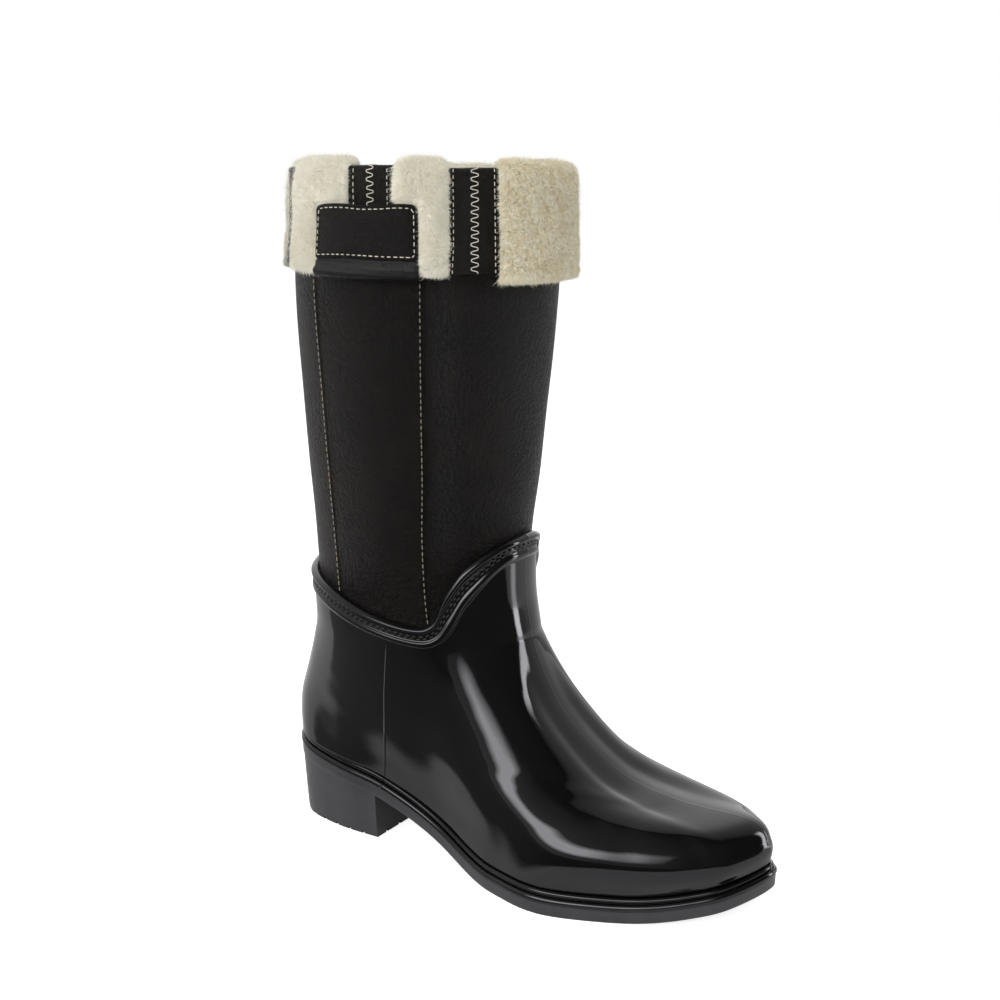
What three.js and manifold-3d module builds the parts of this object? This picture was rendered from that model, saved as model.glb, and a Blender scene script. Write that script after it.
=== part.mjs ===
import * as THREE from "three";
import { mergeVertices } from "three/addons/utils/BufferGeometryUtils.js";
import Module from "manifold-3d";

// A right mid-calf rain boot with a moulded glossy foot, a sewn shaft, a fleece lining and a turned-down
// fleece cuff that a strap with a press stud holds down.
// While it is modelled, X runs from the back of the heel to the toe, +Y is the inner side of the leg and
// Z = 0 is the ground. Everything is in millimetres.

const wasm = await Module();
wasm.setup();

// Driving dimensions of the sole
const soleLength = 268;
const ballWidth = 95;
const heelRimHeight = 43.3;
const seatRimHeight = 34.6;
const seatLength = 60;
const ballStart = 150;
const springStart = 205;
const toeSpring = 13.4;
const soleThickness = 9.1;
const breastPlace = 66;

// Driving dimensions of the leg
const ankleHeight = 112;
const shaftTopHeight = 334;
const legAxisPlace = 80;
const legDepth = 133.4;
const legWidth = 114.8;
const toplineFrontRise = 52.5;
const toplineDipRise = 10.4;
const bandWidth = 10;
const cuffDepth = 43.2;
const cuffCrown = 8.6;
const cuffInnerDepth = 12;

// Walls, layers, the clearance between pieces that touch, and the extra room between pieces that curve
// side by side
const clearance = 0.3;
const curveRoom = 0.35;
const galoshWall = 2.5;
const panelWall = 1.4;
const liningPile = 4;
const footLiningWall = 2.8;
const footbedThickness = 4;
const insoleThickness = 2.1;
const weltHeight = 2.4;
const weltReach = 1.3;
const rimLedge = 3;
const heelLedge = 0.8;
const tuckDepth = 9;
const cutOverrun = 1;

// Seams and tapes, as angles round the leg from the toe side
const degrees = Math.PI / 180;
const fullTurn = 2 * Math.PI;
const frontSeamAngle = 60 * degrees;
const rearSeamAngle = 112 * degrees;
const tapeAngles = [39.8, 78, 149, 223, 279.8, 320.2].map((angle) => angle * degrees);
const tapeWidth = 23;
const tapeThickness = 1.3;

// The rim of the sole from the toe to the back of the heel: place along the length, inner and outer
// edge as shares of the ball width, and the angle round the leg as a share of a half turn
const outlineShares = [
  [1.0, 0.084, 0.084, 0.0],
  [0.96, 0.263, -0.158, 0.067],
  [0.9, 0.379, -0.279, 0.122],
  [0.8, 0.453, -0.416, 0.178],
  [0.66, 0.453, -0.551, 0.249],
  [0.54, 0.342, -0.489, 0.311],
  [0.4, 0.279, -0.358, 0.394],
  [0.27, 0.3, -0.335, 0.5],
  [0.15, 0.324, -0.326, 0.633],
  [0.05, 0.253, -0.242, 0.806],
  [0.0, 0.0, 0.0, 1.0],
];

// The leg from the ankle to the top: height above the ankle, axis place, half depth and half width
const legShares = [
  [0.0, 0.989, 0.446, 0.3746],
  [0.104, 0.962, 0.435, 0.379],
  [0.239, 0.959, 0.44, 0.4],
  [0.374, 0.973, 0.4625, 0.4285],
  [0.509, 0.985, 0.476, 0.457],
  [0.779, 1.008, 0.503, 0.503],
  [0.901, 1.025, 0.489, 0.495],
  [1.0, 1.025, 0.487, 0.491],
];

// How the foot rises from the sole to the ankle, at four stations from the toe to the heel: each pair
// is a share of the way to the ankle in plan and a share of the height
const stationPlaces = [0, 4, 6.5, 10];
const riseShares = [
  [[0.0, 0.113], [0.068, 0.205], [0.364, 0.228], [0.623, 0.333], [0.868, 0.632]],
  [[-0.1, 0.162], [0.07, 0.281], [0.39, 0.415], [0.56, 0.524], [0.815, 0.759]],
  [[0.14, 0.15], [0.34, 0.32], [0.55, 0.5], [0.74, 0.67], [0.88, 0.84]],
  [[-0.05, 0.144], [0.01, 0.3], [0.27, 0.467], [0.57, 0.655], [0.835, 0.833]],
];
const riseRows = riseShares[0].length + 1;
const ankleStep = 16;

// The upper edge of the moulded foot: angle as a share of a half turn, height between the dip and the
// front as a share, and the drop to the lower edge of the band as a share of the band's width
const toplineShares = [
  [0.0, 1.0, 1.05],
  [0.111, 0.94, 1.1],
  [0.222, 0.7, 1.75],
  [0.278, 0.41, 1.9],
  [0.317, 0.095, 1.15],
  [0.367, 0.0, 0.95],
  [0.5, 0.09, 0.95],
  [0.694, 0.29, 1.0],
  [1.0, 0.44, 1.0],
];

// Small helpers
const vector = (x, y, z) => new THREE.Vector3(x, y, z);
const mix = (from, to, share) => from + (to - from) * share;
const column = (table, index) => table.map((row) => row[index]);
const steps = (count) => Array.from({ length: count + 1 }, (_, index) => index / count);

function easeShare(value, from, to) {
  const share = THREE.MathUtils.clamp((value - from) / (to - from), 0, 1);
  return share * share * (3 - 2 * share);
}

function catmull(before, from, to, after, share) {
  const cube = 3 * (from - to) + after - before;
  const square = 2 * before - 5 * from + 4 * to - after;
  return from + 0.5 * share * (to - before + share * (square + share * cube));
}

// A smooth curve through a table of places and values
function through(places, values, place) {
  const last = places.length - 1;
  let index = 0;
  while (index < last - 1 && place > places[index + 1]) index += 1;
  const slope = (at) => {
    const from = Math.max(at - 1, 0);
    const to = Math.min(at + 1, last);
    return (values[to] - values[from]) / (places[to] - places[from]);
  };
  const span = places[index + 1] - places[index];
  const share = (place - places[index]) / span;
  const rest = 1 - share;
  const fromPart = rest * rest * (1 + 2 * share) * values[index];
  const toPart = share * share * (3 - 2 * share) * values[index + 1];
  const slopes = share * rest * span * (rest * slope(index) - share * slope(index + 1));
  return fromPart + toPart + slopes;
}

// The closed outline of the sole: turn 0 is the toe, 0.5 the back of the heel, and it runs past the
// inner side first
const innerSide = outlineShares.map(([x, inner, , angle]) => [x, inner, angle / 2]);
const outerSide = outlineShares.slice(1, -1).reverse()
  .map(([x, , outer, angle]) => [x, outer, 1 - angle / 2]);
const outlineKnots = [...innerSide, ...outerSide];
const knotCount = outlineKnots.length;

function outlineValue(turn, index) {
  const place = turn * knotCount;
  const knot = Math.floor(place);
  const at = (offset) => {
    const wrapped = THREE.MathUtils.euclideanModulo(knot + offset, knotCount);
    const turns = index === 2 ? Math.floor((knot + offset) / knotCount) : 0;
    return outlineKnots[wrapped][index] + turns;
  };
  return catmull(at(-1), at(0), at(1), at(2), place - knot);
}

const legAngle = (turn) => outlineValue(turn, 2) * fullTurn;
const turnStep = 1e-3;

function outlinePoint(turn, inset) {
  const x = outlineValue(turn, 0) * soleLength;
  const y = outlineValue(turn, 1) * ballWidth;
  const alongX = (outlineValue(turn + turnStep, 0) - outlineValue(turn - turnStep, 0)) * soleLength;
  const alongY = (outlineValue(turn + turnStep, 1) - outlineValue(turn - turnStep, 1)) * ballWidth;
  const length = Math.hypot(alongX, alongY);
  return [x - (alongY / length) * inset, y + (alongX / length) * inset];
}

// The height of the top of the sole's rim
function rimHeight(x) {
  const seatSlope = (seatRimHeight - heelRimHeight) / seatLength;
  const rise = Math.max(x - springStart, 0) / (soleLength - springStart);
  if (x < seatLength) return heelRimHeight + seatSlope * x;
  const span = ballStart - seatLength;
  const share = Math.min((x - seatLength) / span, 1);
  const rest = 1 - share;
  const seat = rest * rest * ((1 + 2 * share) * seatRimHeight + share * span * seatSlope);
  return seat + share * share * (3 - 2 * share) * soleThickness + toeSpring * rise * rise;
}

// 0 at the toe and 1 at the back of the heel
const rearShare = (turn) => 2 * Math.abs(turn - Math.round(turn));
const ledge = (turn) => mix(rimLedge, heelLedge, easeShare(rearShare(turn), 0.55, 0.9));
const upperBaseHeight = weltHeight + 2 * clearance;

// The leg's section at a height: its axis, half depth and half width
const legPlaces = column(legShares, 0);

function legSection(height) {
  const share = (height - ankleHeight) / (shaftTopHeight - ankleHeight);
  const value = (index) => through(legPlaces, column(legShares, index), share);
  return [value(1) * legAxisPlace, value(2) * legDepth, value(3) * legWidth];
}

function legPoint(angle, height, offset = 0) {
  const [axis, halfDepth, halfWidth] = legSection(height);
  const outX = Math.cos(angle) / halfDepth;
  const outY = Math.sin(angle) / halfWidth;
  const length = Math.hypot(outX, outY);
  const x = axis + halfDepth * Math.cos(angle) + (outX / length) * offset;
  return vector(x, halfWidth * Math.sin(angle) + (outY / length) * offset, height);
}

// The surface on which the moulded foot and the sewn shaft meet. Rows 0 to riseRows climb from the
// sole to the ankle, and each further row is one ankle step up the leg.
function riseAt(turn, row) {
  const place = rearShare(turn) * (outlineShares.length - 1);
  const last = stationPlaces.length - 2;
  const station = Math.min(stationPlaces.findLastIndex((start) => place >= start), last);
  const share = easeShare(place, stationPlaces[station], stationPlaces[station + 1]);
  const [from, to] = [riseShares[station][row], riseShares[station + 1][row]];
  return [mix(from[0], to[0], share), mix(from[1], to[1], share)];
}

function surfacePoint(turn, row) {
  const angle = legAngle(turn);
  if (row >= riseRows) return legPoint(angle, ankleHeight + (row - riseRows) * ankleStep);
  const [x, y] = outlinePoint(turn, ledge(turn) + galoshWall);
  const base = vector(x, y, rimHeight(x) + upperBaseHeight);
  const ankle = legPoint(angle, ankleHeight);
  const ring = (index) => {
    if (index === 0) return base;
    if (index === riseRows) return ankle;
    if (index > riseRows) return legPoint(angle, ankleHeight + ankleStep);
    const [plan, height] = riseAt(turn, index - 1);
    return vector(mix(base.x, ankle.x, plan), mix(base.y, ankle.y, plan), mix(base.z, ankle.z, height));
  };
  const index = Math.min(Math.floor(row), riseRows - 1);
  const share = row - index;
  const before = index === 0 ? base.clone().add(base).sub(ring(1)) : ring(index - 1);
  const [from, to, after] = [ring(index), ring(index + 1), ring(index + 2)];
  const value = (axis) => catmull(before[axis], from[axis], to[axis], after[axis], share);
  return vector(value("x"), value("y"), value("z"));
}

// A point off that surface. Near the sole it is measured level and follows the rim, so that lower edges
// stay on the welt.
const levelRows = 0.8;

function skinPoint(turn, row, offset) {
  const low = Math.max(row - turnStep, 0);
  const along = surfacePoint(turn + turnStep, row).sub(surfacePoint(turn - turnStep, row));
  const up = surfacePoint(turn, row + turnStep).sub(surfacePoint(turn, low));
  const normal = along.cross(up).normalize();
  normal.setZ(normal.z * easeShare(row, 0, levelRows)).normalize();
  const from = surfacePoint(turn, row);
  const point = from.clone().addScaledVector(normal, offset);
  const rimRise = rimHeight(point.x) - rimHeight(from.x);
  return point.setZ(point.z + rimRise * (1 - easeShare(row, 0, levelRows)));
}

// The topline of the moulded foot and the lower edge of its band
const toplineFrontHeight = ankleHeight + toplineFrontRise;
const toplineDipHeight = ankleHeight + toplineDipRise;
const foldedAngle = (angle) => Math.abs(angle - fullTurn * Math.round(angle / fullTurn));

function topline(angle) {
  const place = foldedAngle(angle) / Math.PI;
  const share = through(column(toplineShares, 0), column(toplineShares, 1), place);
  return mix(toplineDipHeight, toplineFrontHeight, share);
}

function bandLowHeight(angle) {
  const place = foldedAngle(angle) / Math.PI;
  return topline(angle) - bandWidth * through(column(toplineShares, 0), column(toplineShares, 2), place);
}

const rowAtHeight = (height) => riseRows + (height - ankleHeight) / ankleStep;

// Closed solids from grids of points

function solidFromTriangles(triangles) {
  const positions = triangles.flatMap((corner) => [corner.x, corner.y, corner.z]);
  const geometry = new THREE.BufferGeometry();
  geometry.setAttribute("position", new THREE.Float32BufferAttribute(positions, 3));
  return mergeVertices(geometry);
}

// A wall between two matching grids, outer[i][k] and inner[i][k]: i runs round and k runs up
function wallSolid(outer, inner, ring) {
  const triangles = [];
  const quad = (a, b, c, d) => triangles.push(a, b, c, a, c, d);
  const columns = outer.length;
  const top = outer[0].length - 1;
  const spans = ring ? columns : columns - 1;
  for (let i = 0; i < spans; i += 1) {
    const j = (i + 1) % columns;
    for (let k = 0; k < top; k += 1) {
      quad(outer[i][k], outer[j][k], outer[j][k + 1], outer[i][k + 1]);
      quad(inner[i][k], inner[i][k + 1], inner[j][k + 1], inner[j][k]);
    }
    quad(inner[i][0], inner[j][0], outer[j][0], outer[i][0]);
    quad(outer[i][top], outer[j][top], inner[j][top], inner[i][top]);
  }
  for (let k = 0; k < top && !ring; k += 1) {
    quad(inner[0][k], outer[0][k], outer[0][k + 1], inner[0][k + 1]);
    quad(outer[spans][k], inner[spans][k], inner[spans][k + 1], outer[spans][k + 1]);
  }
  return solidFromTriangles(triangles);
}

// A slab inside the foot outline: rings of points from its lower edge to its upper edge, closed below
// and above by strips that cross from the outer side to the inner side
function slabSolid(rings) {
  const triangles = [];
  const count = rings[0].length;
  const triangle = (a, b, c) => {
    if (a.distanceTo(b) > 0 && b.distanceTo(c) > 0 && c.distanceTo(a) > 0) triangles.push(a, b, c);
  };
  const quad = (a, b, c, d) => {
    triangle(a, b, c);
    triangle(a, c, d);
  };
  rings.slice(1).forEach((upper, level) => upper.forEach((corner, i) => {
    const j = (i + 1) % count;
    quad(rings[level][i], rings[level][j], upper[j], corner);
  }));
  const [low, high] = [rings[0], rings.at(-1)];
  for (let i = 0; i < count / 2; i += 1) {
    const [from, to] = [(count - i) % count, count - i - 1];
    quad(low[from], low[to], low[i + 1], low[i]);
    quad(high[from], high[i], high[i + 1], high[to]);
  }
  return solidFromTriangles(triangles);
}

// Joining and cutting

function toManifold(geometry) {
  const bare = geometry.clone();
  bare.deleteAttribute("normal");
  bare.deleteAttribute("uv");
  const merged = mergeVertices(bare);
  const vertProperties = new Float32Array(merged.attributes.position.array);
  const triVerts = new Uint32Array(merged.index.array);
  return new wasm.Manifold(new wasm.Mesh({ numProp: 3, vertProperties, triVerts }));
}

function fromManifold(manifold) {
  const mesh = manifold.getMesh();
  const geometry = new THREE.BufferGeometry();
  geometry.setAttribute("position", new THREE.BufferAttribute(mesh.vertProperties.slice(), 3));
  geometry.setIndex(new THREE.BufferAttribute(mesh.triVerts.slice(), 1));
  return geometry;
}

const cutAway = (geometry, cutters) => fromManifold(
  cutters.reduce((solid, cutter) => solid.subtract(toManifold(cutter)), toManifold(geometry)),
);

function boxBetween(low, high) {
  const size = high.clone().sub(low);
  const box = new THREE.BoxGeometry(size.x, size.y, size.z);
  return box.translate(low.x + size.x / 2, low.y + size.y / 2, low.z + size.z / 2);
}

// Finishes
const glossyFoot = { color: 0x0b0b0c, roughness: 0.08, metalness: 0 };
const satinSole = { color: 0x1d1d20, roughness: 0.5, metalness: 0 };
const grainedShaft = { color: 0x1c1613, roughness: 0.62, metalness: 0 };
const tapeSkin = { color: 0x221b18, roughness: 0.55, metalness: 0 };
const creamFleece = { color: 0xd8d0b8, roughness: 0.95, metalness: 0 };
const boardFibre = { color: 0x8f7d63, roughness: 0.85, metalness: 0 };
const brightSteel = { color: 0xb9b6ae, roughness: 0.3, metalness: 1 };

const boot = new THREE.Group();

function addPiece(name, geometry, finish) {
  geometry.computeVertexNormals();
  const mesh = new THREE.Mesh(geometry, new THREE.MeshStandardMaterial(finish));
  mesh.name = name;
  boot.add(mesh);
}

// The sole: a rim with a step under its upper edge, a block heel and a tread
const soleColumns = 60;
const rimBevel = 1.6;
const rimFaceHeight = 3;
const rimStep = 0.4;
const soleUndercut = 0.6;
const heelColumns = 28;
const turnHalvings = 24;
const heelTaper = 2.6;
const heelEmbed = 5;
const breastLean = 0.8;
const treadDepth = 1.6;
const treadWidth = 2.4;
const heelTreadSpacing = 13;
const heelTreadAcross = 14;
const heelTreadLines = 3;
const foreTreadSpacing = 9;
const foreTreadBehind = 10;
const foreTreadToeSpace = 22;
const treadBorder = 8;

function outlineRing(count, inset, heightAt) {
  return steps(count).slice(0, -1).map((turn) => {
    const [x, y] = outlinePoint(turn, typeof inset === "function" ? inset(turn) : inset);
    return vector(x, y, heightAt(x));
  });
}

function soleSlab() {
  return slabSolid([
    outlineRing(soleColumns, soleUndercut, (x) => rimHeight(x) - soleThickness),
    outlineRing(soleColumns, rimStep, (x) => rimHeight(x) - rimFaceHeight - clearance),
    outlineRing(soleColumns, 0, (x) => rimHeight(x) - rimFaceHeight),
    outlineRing(soleColumns, 0, (x) => rimHeight(x) - rimBevel),
    outlineRing(soleColumns, rimBevel, rimHeight),
  ]);
}

// The turn at which the outline, drawn in by an inset, crosses a place along the length, between a turn
// that lies ahead of it and one behind it
function turnAtPlace(place, inset, ahead, behind) {
  let [front, rear] = [ahead, behind];
  for (let halving = 0; halving < turnHalvings; halving += 1) {
    const middle = (front + rear) / 2;
    if (outlinePoint(middle, inset)[0] > place) front = middle;
    else rear = middle;
  }
  return (front + rear) / 2;
}

// The heel block narrows towards the ground, and its breast leans forward as it rises
function heelBlock() {
  const ring = (inset, breast, heightAt) => {
    const start = turnAtPlace(breast, inset, 0.25, 0.5);
    const end = turnAtPlace(breast, inset, 0.75, 0.5);
    return steps(heelColumns).map((share) => {
      const [x, y] = outlinePoint(mix(start, end, share), inset);
      return vector(x, y, heightAt(x));
    });
  };
  const low = ring(heelTaper, breastPlace, () => 0);
  const high = ring(rimStep, breastPlace + breastLean, (x) => rimHeight(x) - heelEmbed);
  const middle = vector(breastPlace / 2, 0, 0);
  const triangles = [];
  for (let i = 0; i <= heelColumns; i += 1) {
    const j = (i + 1) % (heelColumns + 1);
    triangles.push(low[i], low[j], high[j], low[i], high[j], high[i]);
    triangles.push(middle, low[j], low[i]);
    triangles.push(middle.clone().setZ(rimHeight(middle.x) - heelEmbed), high[i], high[j]);
  }
  return solidFromTriangles(triangles);
}

function treadCutters() {
  const half = treadWidth / 2;
  const bar = (x, lowY, highY, z) => boxBetween(
    vector(x - half, lowY, -cutOverrun),
    vector(x + half, highY, z + treadDepth),
  );
  const cutters = [];
  for (let x = breastPlace - heelTreadSpacing; x > heelTreadSpacing / 2; x -= heelTreadSpacing) {
    cutters.push(bar(x, -ballWidth, ballWidth, 0));
  }
  for (let line = 0; line < heelTreadLines; line += 1) {
    const y = (line - (heelTreadLines - 1) / 2) * heelTreadAcross;
    const low = vector(-cutOverrun, y - half, -cutOverrun);
    cutters.push(boxBetween(low, vector(breastPlace + breastLean + cutOverrun, y + half, treadDepth)));
  }
  const foreTreadFirst = ballStart - foreTreadBehind;
  const foreTreadLast = soleLength - foreTreadToeSpace;
  for (let x = foreTreadFirst; x <= foreTreadLast; x += foreTreadSpacing) {
    const turns = steps(soleColumns).map((turn) => outlinePoint(turn, treadBorder));
    const near = turns.filter(([place]) => Math.abs(place - x) < foreTreadSpacing).map(([, y]) => y);
    const [lowY, highY] = [Math.min(...near), Math.max(...near)];
    cutters.push(bar(x, lowY, highY, rimHeight(x) - soleThickness));
  }
  return cutters;
}

const soleBody = fromManifold(toManifold(soleSlab()).add(toManifold(heelBlock())));
addPiece("outsole", cutAway(soleBody, treadCutters()), satinSole);

// The welt, a bead in the groove between the sole's rim and the moulded foot
const footColumns = 48;
const footTurns = steps(footColumns).slice(0, -1);
const seatInset = (turn) => ledge(turn) + galoshWall;

function weltSolid() {
  const edge = (inset, share) => footTurns.map((turn) => {
    const [x, y] = outlinePoint(turn, inset(turn));
    return vector(x, y, rimHeight(x) + clearance + share * weltHeight);
  });
  const outerInset = (turn) => Math.max(ledge(turn) - weltReach, rimBevel);
  const bead = (turn) => outerInset(turn) - weltHeight / 6;
  const [low, middle, high] = [edge(outerInset, 0), edge(bead, 0.5), edge(outerInset, 1)];
  const [backLow, backMiddle, backHigh] = [0, 0.5, 1].map((share) => edge(seatInset, share));
  const outer = low.map((corner, i) => [corner, middle[i], high[i]]);
  const inner = backLow.map((corner, i) => [corner, backMiddle[i], backHigh[i]]);
  return wallSolid(outer, inner, true);
}

addPiece("welt", weltSolid(), satinSole);

// The moulded foot, with the thicker band under its topline: places up the band as shares of its
// height, and the extra wall there as shares of the band's relief
const footRows = 8;
const footRowsTop = 5.4;
const throatRows = 2;
const bandRelief = 1.3;
const bandProfileShares = [
  [0.0, 0.0],
  [0.06, 0.85],
  [0.3, 0.9],
  [0.36, 0.5],
  [0.7, 0.5],
  [0.78, 1.0],
  [1.0, 0.7],
];

const sharedRows = steps(footRows).map((share) => share * footRowsTop);

function galoshSolid() {
  const skin = (inner) => footTurns.map((turn) => {
    const angle = legAngle(turn);
    const lowRow = rowAtHeight(bandLowHeight(angle));
    const highRow = rowAtHeight(topline(angle));
    const throat = steps(throatRows).slice(1, -1).map((share) => mix(footRowsTop, lowRow, share));
    const foot = [...sharedRows, ...throat].map((row) => (
      skinPoint(turn, row, inner ? clearance / 2 : galoshWall)));
    const band = bandProfileShares.map(([up, extra]) => (
      skinPoint(turn, mix(lowRow, highRow, up), inner ? clearance / 2 : galoshWall + extra * bandRelief)));
    return [...foot, ...band];
  });
  return wallSolid(skin(false), skin(true), true);
}

addPiece("galosh", galoshSolid(), glossyFoot);

// The insole board and the footbed on it
const bedSideRoom = 1.2;
const footLiningRoom = 0.8;
const footLiningFace = clearance / 2 + footLiningRoom;
const bedInset = footLiningFace + footLiningWall + bedSideRoom;

addPiece("insole_board", slabSolid([0, 1].map((level) => outlineRing(
  footColumns,
  (turn) => seatInset(turn) + 2 * clearance,
  (x) => rimHeight(x) + clearance + curveRoom + level * insoleThickness,
))), boardFibre);

addPiece("footbed", slabSolid([0, 1].map((level) => outlineRing(
  footColumns,
  (turn) => seatInset(turn) + bedInset,
  (x) => rimHeight(x) + 2 * clearance + curveRoom + insoleThickness + level * footbedThickness,
))), creamFleece);

// The fleece linings of the foot and of the shaft
const liningColumns = 32;
const panelFace = clearance / 2 + curveRoom;
const liningFace = panelFace + panelWall + clearance + curveRoom;
const liningBack = liningFace + liningPile;
const cuffLowHeight = shaftTopHeight - cuffDepth;
const cuffTopHeight = shaftTopHeight + cuffCrown;
const cuffInnerHeight = shaftTopHeight - cuffInnerDepth;
const cuffMiddleHeight = mix(cuffLowHeight, shaftTopHeight, 0.5);

function footLiningSolid() {
  const rows = [...sharedRows, rowAtHeight(ankleHeight - clearance)];
  const skin = (offset) => footTurns.map((turn) => rows.map((row) => skinPoint(turn, row, offset)));
  return wallSolid(skin(-footLiningFace), skin(-footLiningFace - footLiningWall), true);
}

addPiece("foot_lining", footLiningSolid(), creamFleece);

// A wall round the leg between two offsets, through heights that may follow the angle. The middle
// heights are the same for every layer of the shaft, so that the layers run side by side.
const shaftRows = 5;
const shaftHeights = steps(shaftRows)
  .map((share) => mix(toplineFrontHeight + tuckDepth, cuffMiddleHeight, share));
const roundAngles = (count) => steps(count).slice(0, -1).map((share) => share * fullTurn);

function legWall(angles, heightsAt, outerOffset, innerOffset, ring) {
  const skin = (offset) => angles.map((angle) => (
    heightsAt(angle).map((height) => legPoint(angle, height, offset))));
  return wallSolid(skin(outerOffset), skin(innerOffset), ring);
}

const liningLow = ankleHeight + 2 * clearance;
addPiece("shaft_lining", legWall(roundAngles(liningColumns), () => [
  liningLow,
  mix(liningLow, shaftHeights[0], 0.5),
  ...shaftHeights,
  cuffInnerHeight - clearance,
], -liningFace, -liningBack, true), creamFleece);

// The four sewn panels of the shaft, which tuck in behind the band of the moulded foot
const panelColumnAngle = 6.5 * degrees;

function anglesBetween(from, to, count) {
  return steps(count).map((share) => mix(from, to, share));
}

function seamGapAngle(angle) {
  const [, halfDepth, halfWidth] = legSection(ankleHeight);
  return clearance / 2 / Math.hypot(halfDepth * Math.sin(angle), halfWidth * Math.cos(angle));
}

function panelSolid(from, to) {
  const count = Math.round((to - from) / panelColumnAngle);
  const angles = anglesBetween(from + seamGapAngle(from), to - seamGapAngle(to), count);
  const heights = (angle) => [
    topline(angle) - tuckDepth,
    topline(angle),
    mix(topline(angle), shaftHeights[0], 0.5),
    ...shaftHeights,
    shaftTopHeight,
  ];
  return legWall(angles, heights, -panelFace, -panelFace - panelWall, false);
}

addPiece("shaft_front_panel", panelSolid(-frontSeamAngle, frontSeamAngle), grainedShaft);
addPiece("shaft_back_panel", panelSolid(rearSeamAngle, fullTurn - rearSeamAngle), grainedShaft);
addPiece("shaft_inner_side_panel", panelSolid(frontSeamAngle, rearSeamAngle), grainedShaft);
addPiece("shaft_outer_side_panel", panelSolid(-rearSeamAngle, -frontSeamAngle), grainedShaft);

// The strap's sizes, and the room that the cuff leaves for its inner leg
const strapSetBack = 1.4;
const strapAngle = tapeAngles[4] - arcAngle(tapeAngles[4], strapSetBack);
const strapHalfWidth = 26.8;
const strapLeather = 1.2;
const strapSag = 4;
const strapDepth = 25.5;
const strapInnerRise = 21.2;
const strapFoldDrop = 1.9;
const strapCreaseRise = 5.7;
const strapInnerTop = cuffLowHeight + strapInnerRise;
const strapFoldHeight = cuffLowHeight - strapFoldDrop;
const strapCreaseHeight = cuffLowHeight + strapCreaseRise;
const strapTopHeight = strapCreaseHeight + strapDepth;
const strapRoomBeside = 3;
const strapRoomHalf = arcAngle(strapAngle, strapHalfWidth + strapRoomBeside);
const strapRoomEase = 14 * degrees;

// The cuff's skin, folded over the top of the shaft and lying on the shaft's outside
const backingWall = 0.8;
const backingStandOff = 0.4;
const backingRearRise = 1.2;
const backingColumns = 44;

function strapRoom(angle) {
  const away = foldedAngle(angle - strapAngle);
  return (strapLeather + clearance) * (1 - easeShare(away, strapRoomHalf, strapRoomHalf + strapRoomEase));
}

const rearRise = (angle) => backingRearRise * (1 - Math.cos(angle)) / 2;
const backingOffset = (angle) => backingStandOff + rearRise(angle) + strapRoom(angle);
const fleeceSeat = (angle) => backingOffset(angle) + backingWall + clearance;

// A strip bent over the top of the cuff: each profile is a list of offset and height for an angle
function cuffStrip(angles, outerProfile, innerProfile, ring) {
  const skin = (profile) => angles.map((angle) => (
    profile(angle).map(([offset, height]) => legPoint(angle, height, offset))));
  return wallSolid(skin(outerProfile), skin(innerProfile), ring);
}

const panelBack = -panelFace - panelWall;
const backingTop = shaftTopHeight + clearance + backingWall;

addPiece("cuff_backing", cuffStrip(roundAngles(backingColumns), (angle) => [
  [backingOffset(angle) + backingWall, cuffLowHeight + clearance],
  [backingOffset(angle) + backingWall, cuffMiddleHeight],
  [backingOffset(angle) + backingWall, backingTop],
  [panelBack, backingTop],
], (angle) => [
  [backingOffset(angle), cuffLowHeight + clearance],
  [backingOffset(angle), cuffMiddleHeight],
  [backingOffset(angle), shaftTopHeight + clearance],
  [panelBack, shaftTopHeight + clearance],
], true), grainedShaft);

// The tapes that cover the cuff's seams and bend over its top
const tapeColumns = 3;
const tapeSeatHeight = backingTop + clearance;
const tapeTopHeight = tapeSeatHeight + tapeThickness;
const tapeInner = panelBack - clearance;

function arcAngle(angle, length) {
  const [, halfDepth, halfWidth] = legSection(cuffLowHeight);
  return length / Math.hypot(halfDepth * Math.sin(angle), halfWidth * Math.cos(angle));
}

const tapeHalfAngle = (angle) => arcAngle(angle, tapeWidth / 2);

function tapeSolid(centre) {
  const half = tapeHalfAngle(centre);
  const round = tapeThickness / 2;
  return cuffStrip(anglesBetween(centre - half, centre + half, tapeColumns), (angle) => [
    [fleeceSeat(angle) + tapeThickness, cuffLowHeight],
    [fleeceSeat(angle) + tapeThickness, cuffMiddleHeight],
    [fleeceSeat(angle) + tapeThickness, tapeTopHeight - round],
    [fleeceSeat(angle) + tapeThickness - round, tapeTopHeight],
    [tapeInner - tapeThickness + round, tapeTopHeight],
    [tapeInner - tapeThickness, tapeTopHeight - round],
    [tapeInner - tapeThickness, cuffInnerHeight],
  ], (angle) => [
    [fleeceSeat(angle), cuffLowHeight],
    [fleeceSeat(angle), cuffMiddleHeight],
    [fleeceSeat(angle), tapeSeatHeight - round],
    [fleeceSeat(angle) - round / 2, tapeSeatHeight],
    [tapeInner + round / 2, tapeSeatHeight],
    [tapeInner, tapeSeatHeight - round],
    [tapeInner, cuffInnerHeight],
  ], false);
}

const tapeNames = ["inner_front", "inner_side", "inner_rear", "outer_rear", "outer_side", "outer_front"];
tapeAngles.forEach((angle, index) => addPiece(`cuff_tape_${tapeNames[index]}`, tapeSolid(angle), tapeSkin));

// The press stud's sizes, which set how far the strap stands off the leg
const studSides = 20;
const postBaseRadius = 5;
const postBaseThickness = 0.6;
const postRadius = 1.9;
const socketRadius = 4.6;
const socketStandProud = 0.5;
const studPlay = 0.5;
const studSeat = fleeceSeat(strapAngle) + tapeThickness + clearance;
const strapStandOff = studSeat + postBaseThickness + clearance + socketStandProud + strapLeather / 2;

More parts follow.
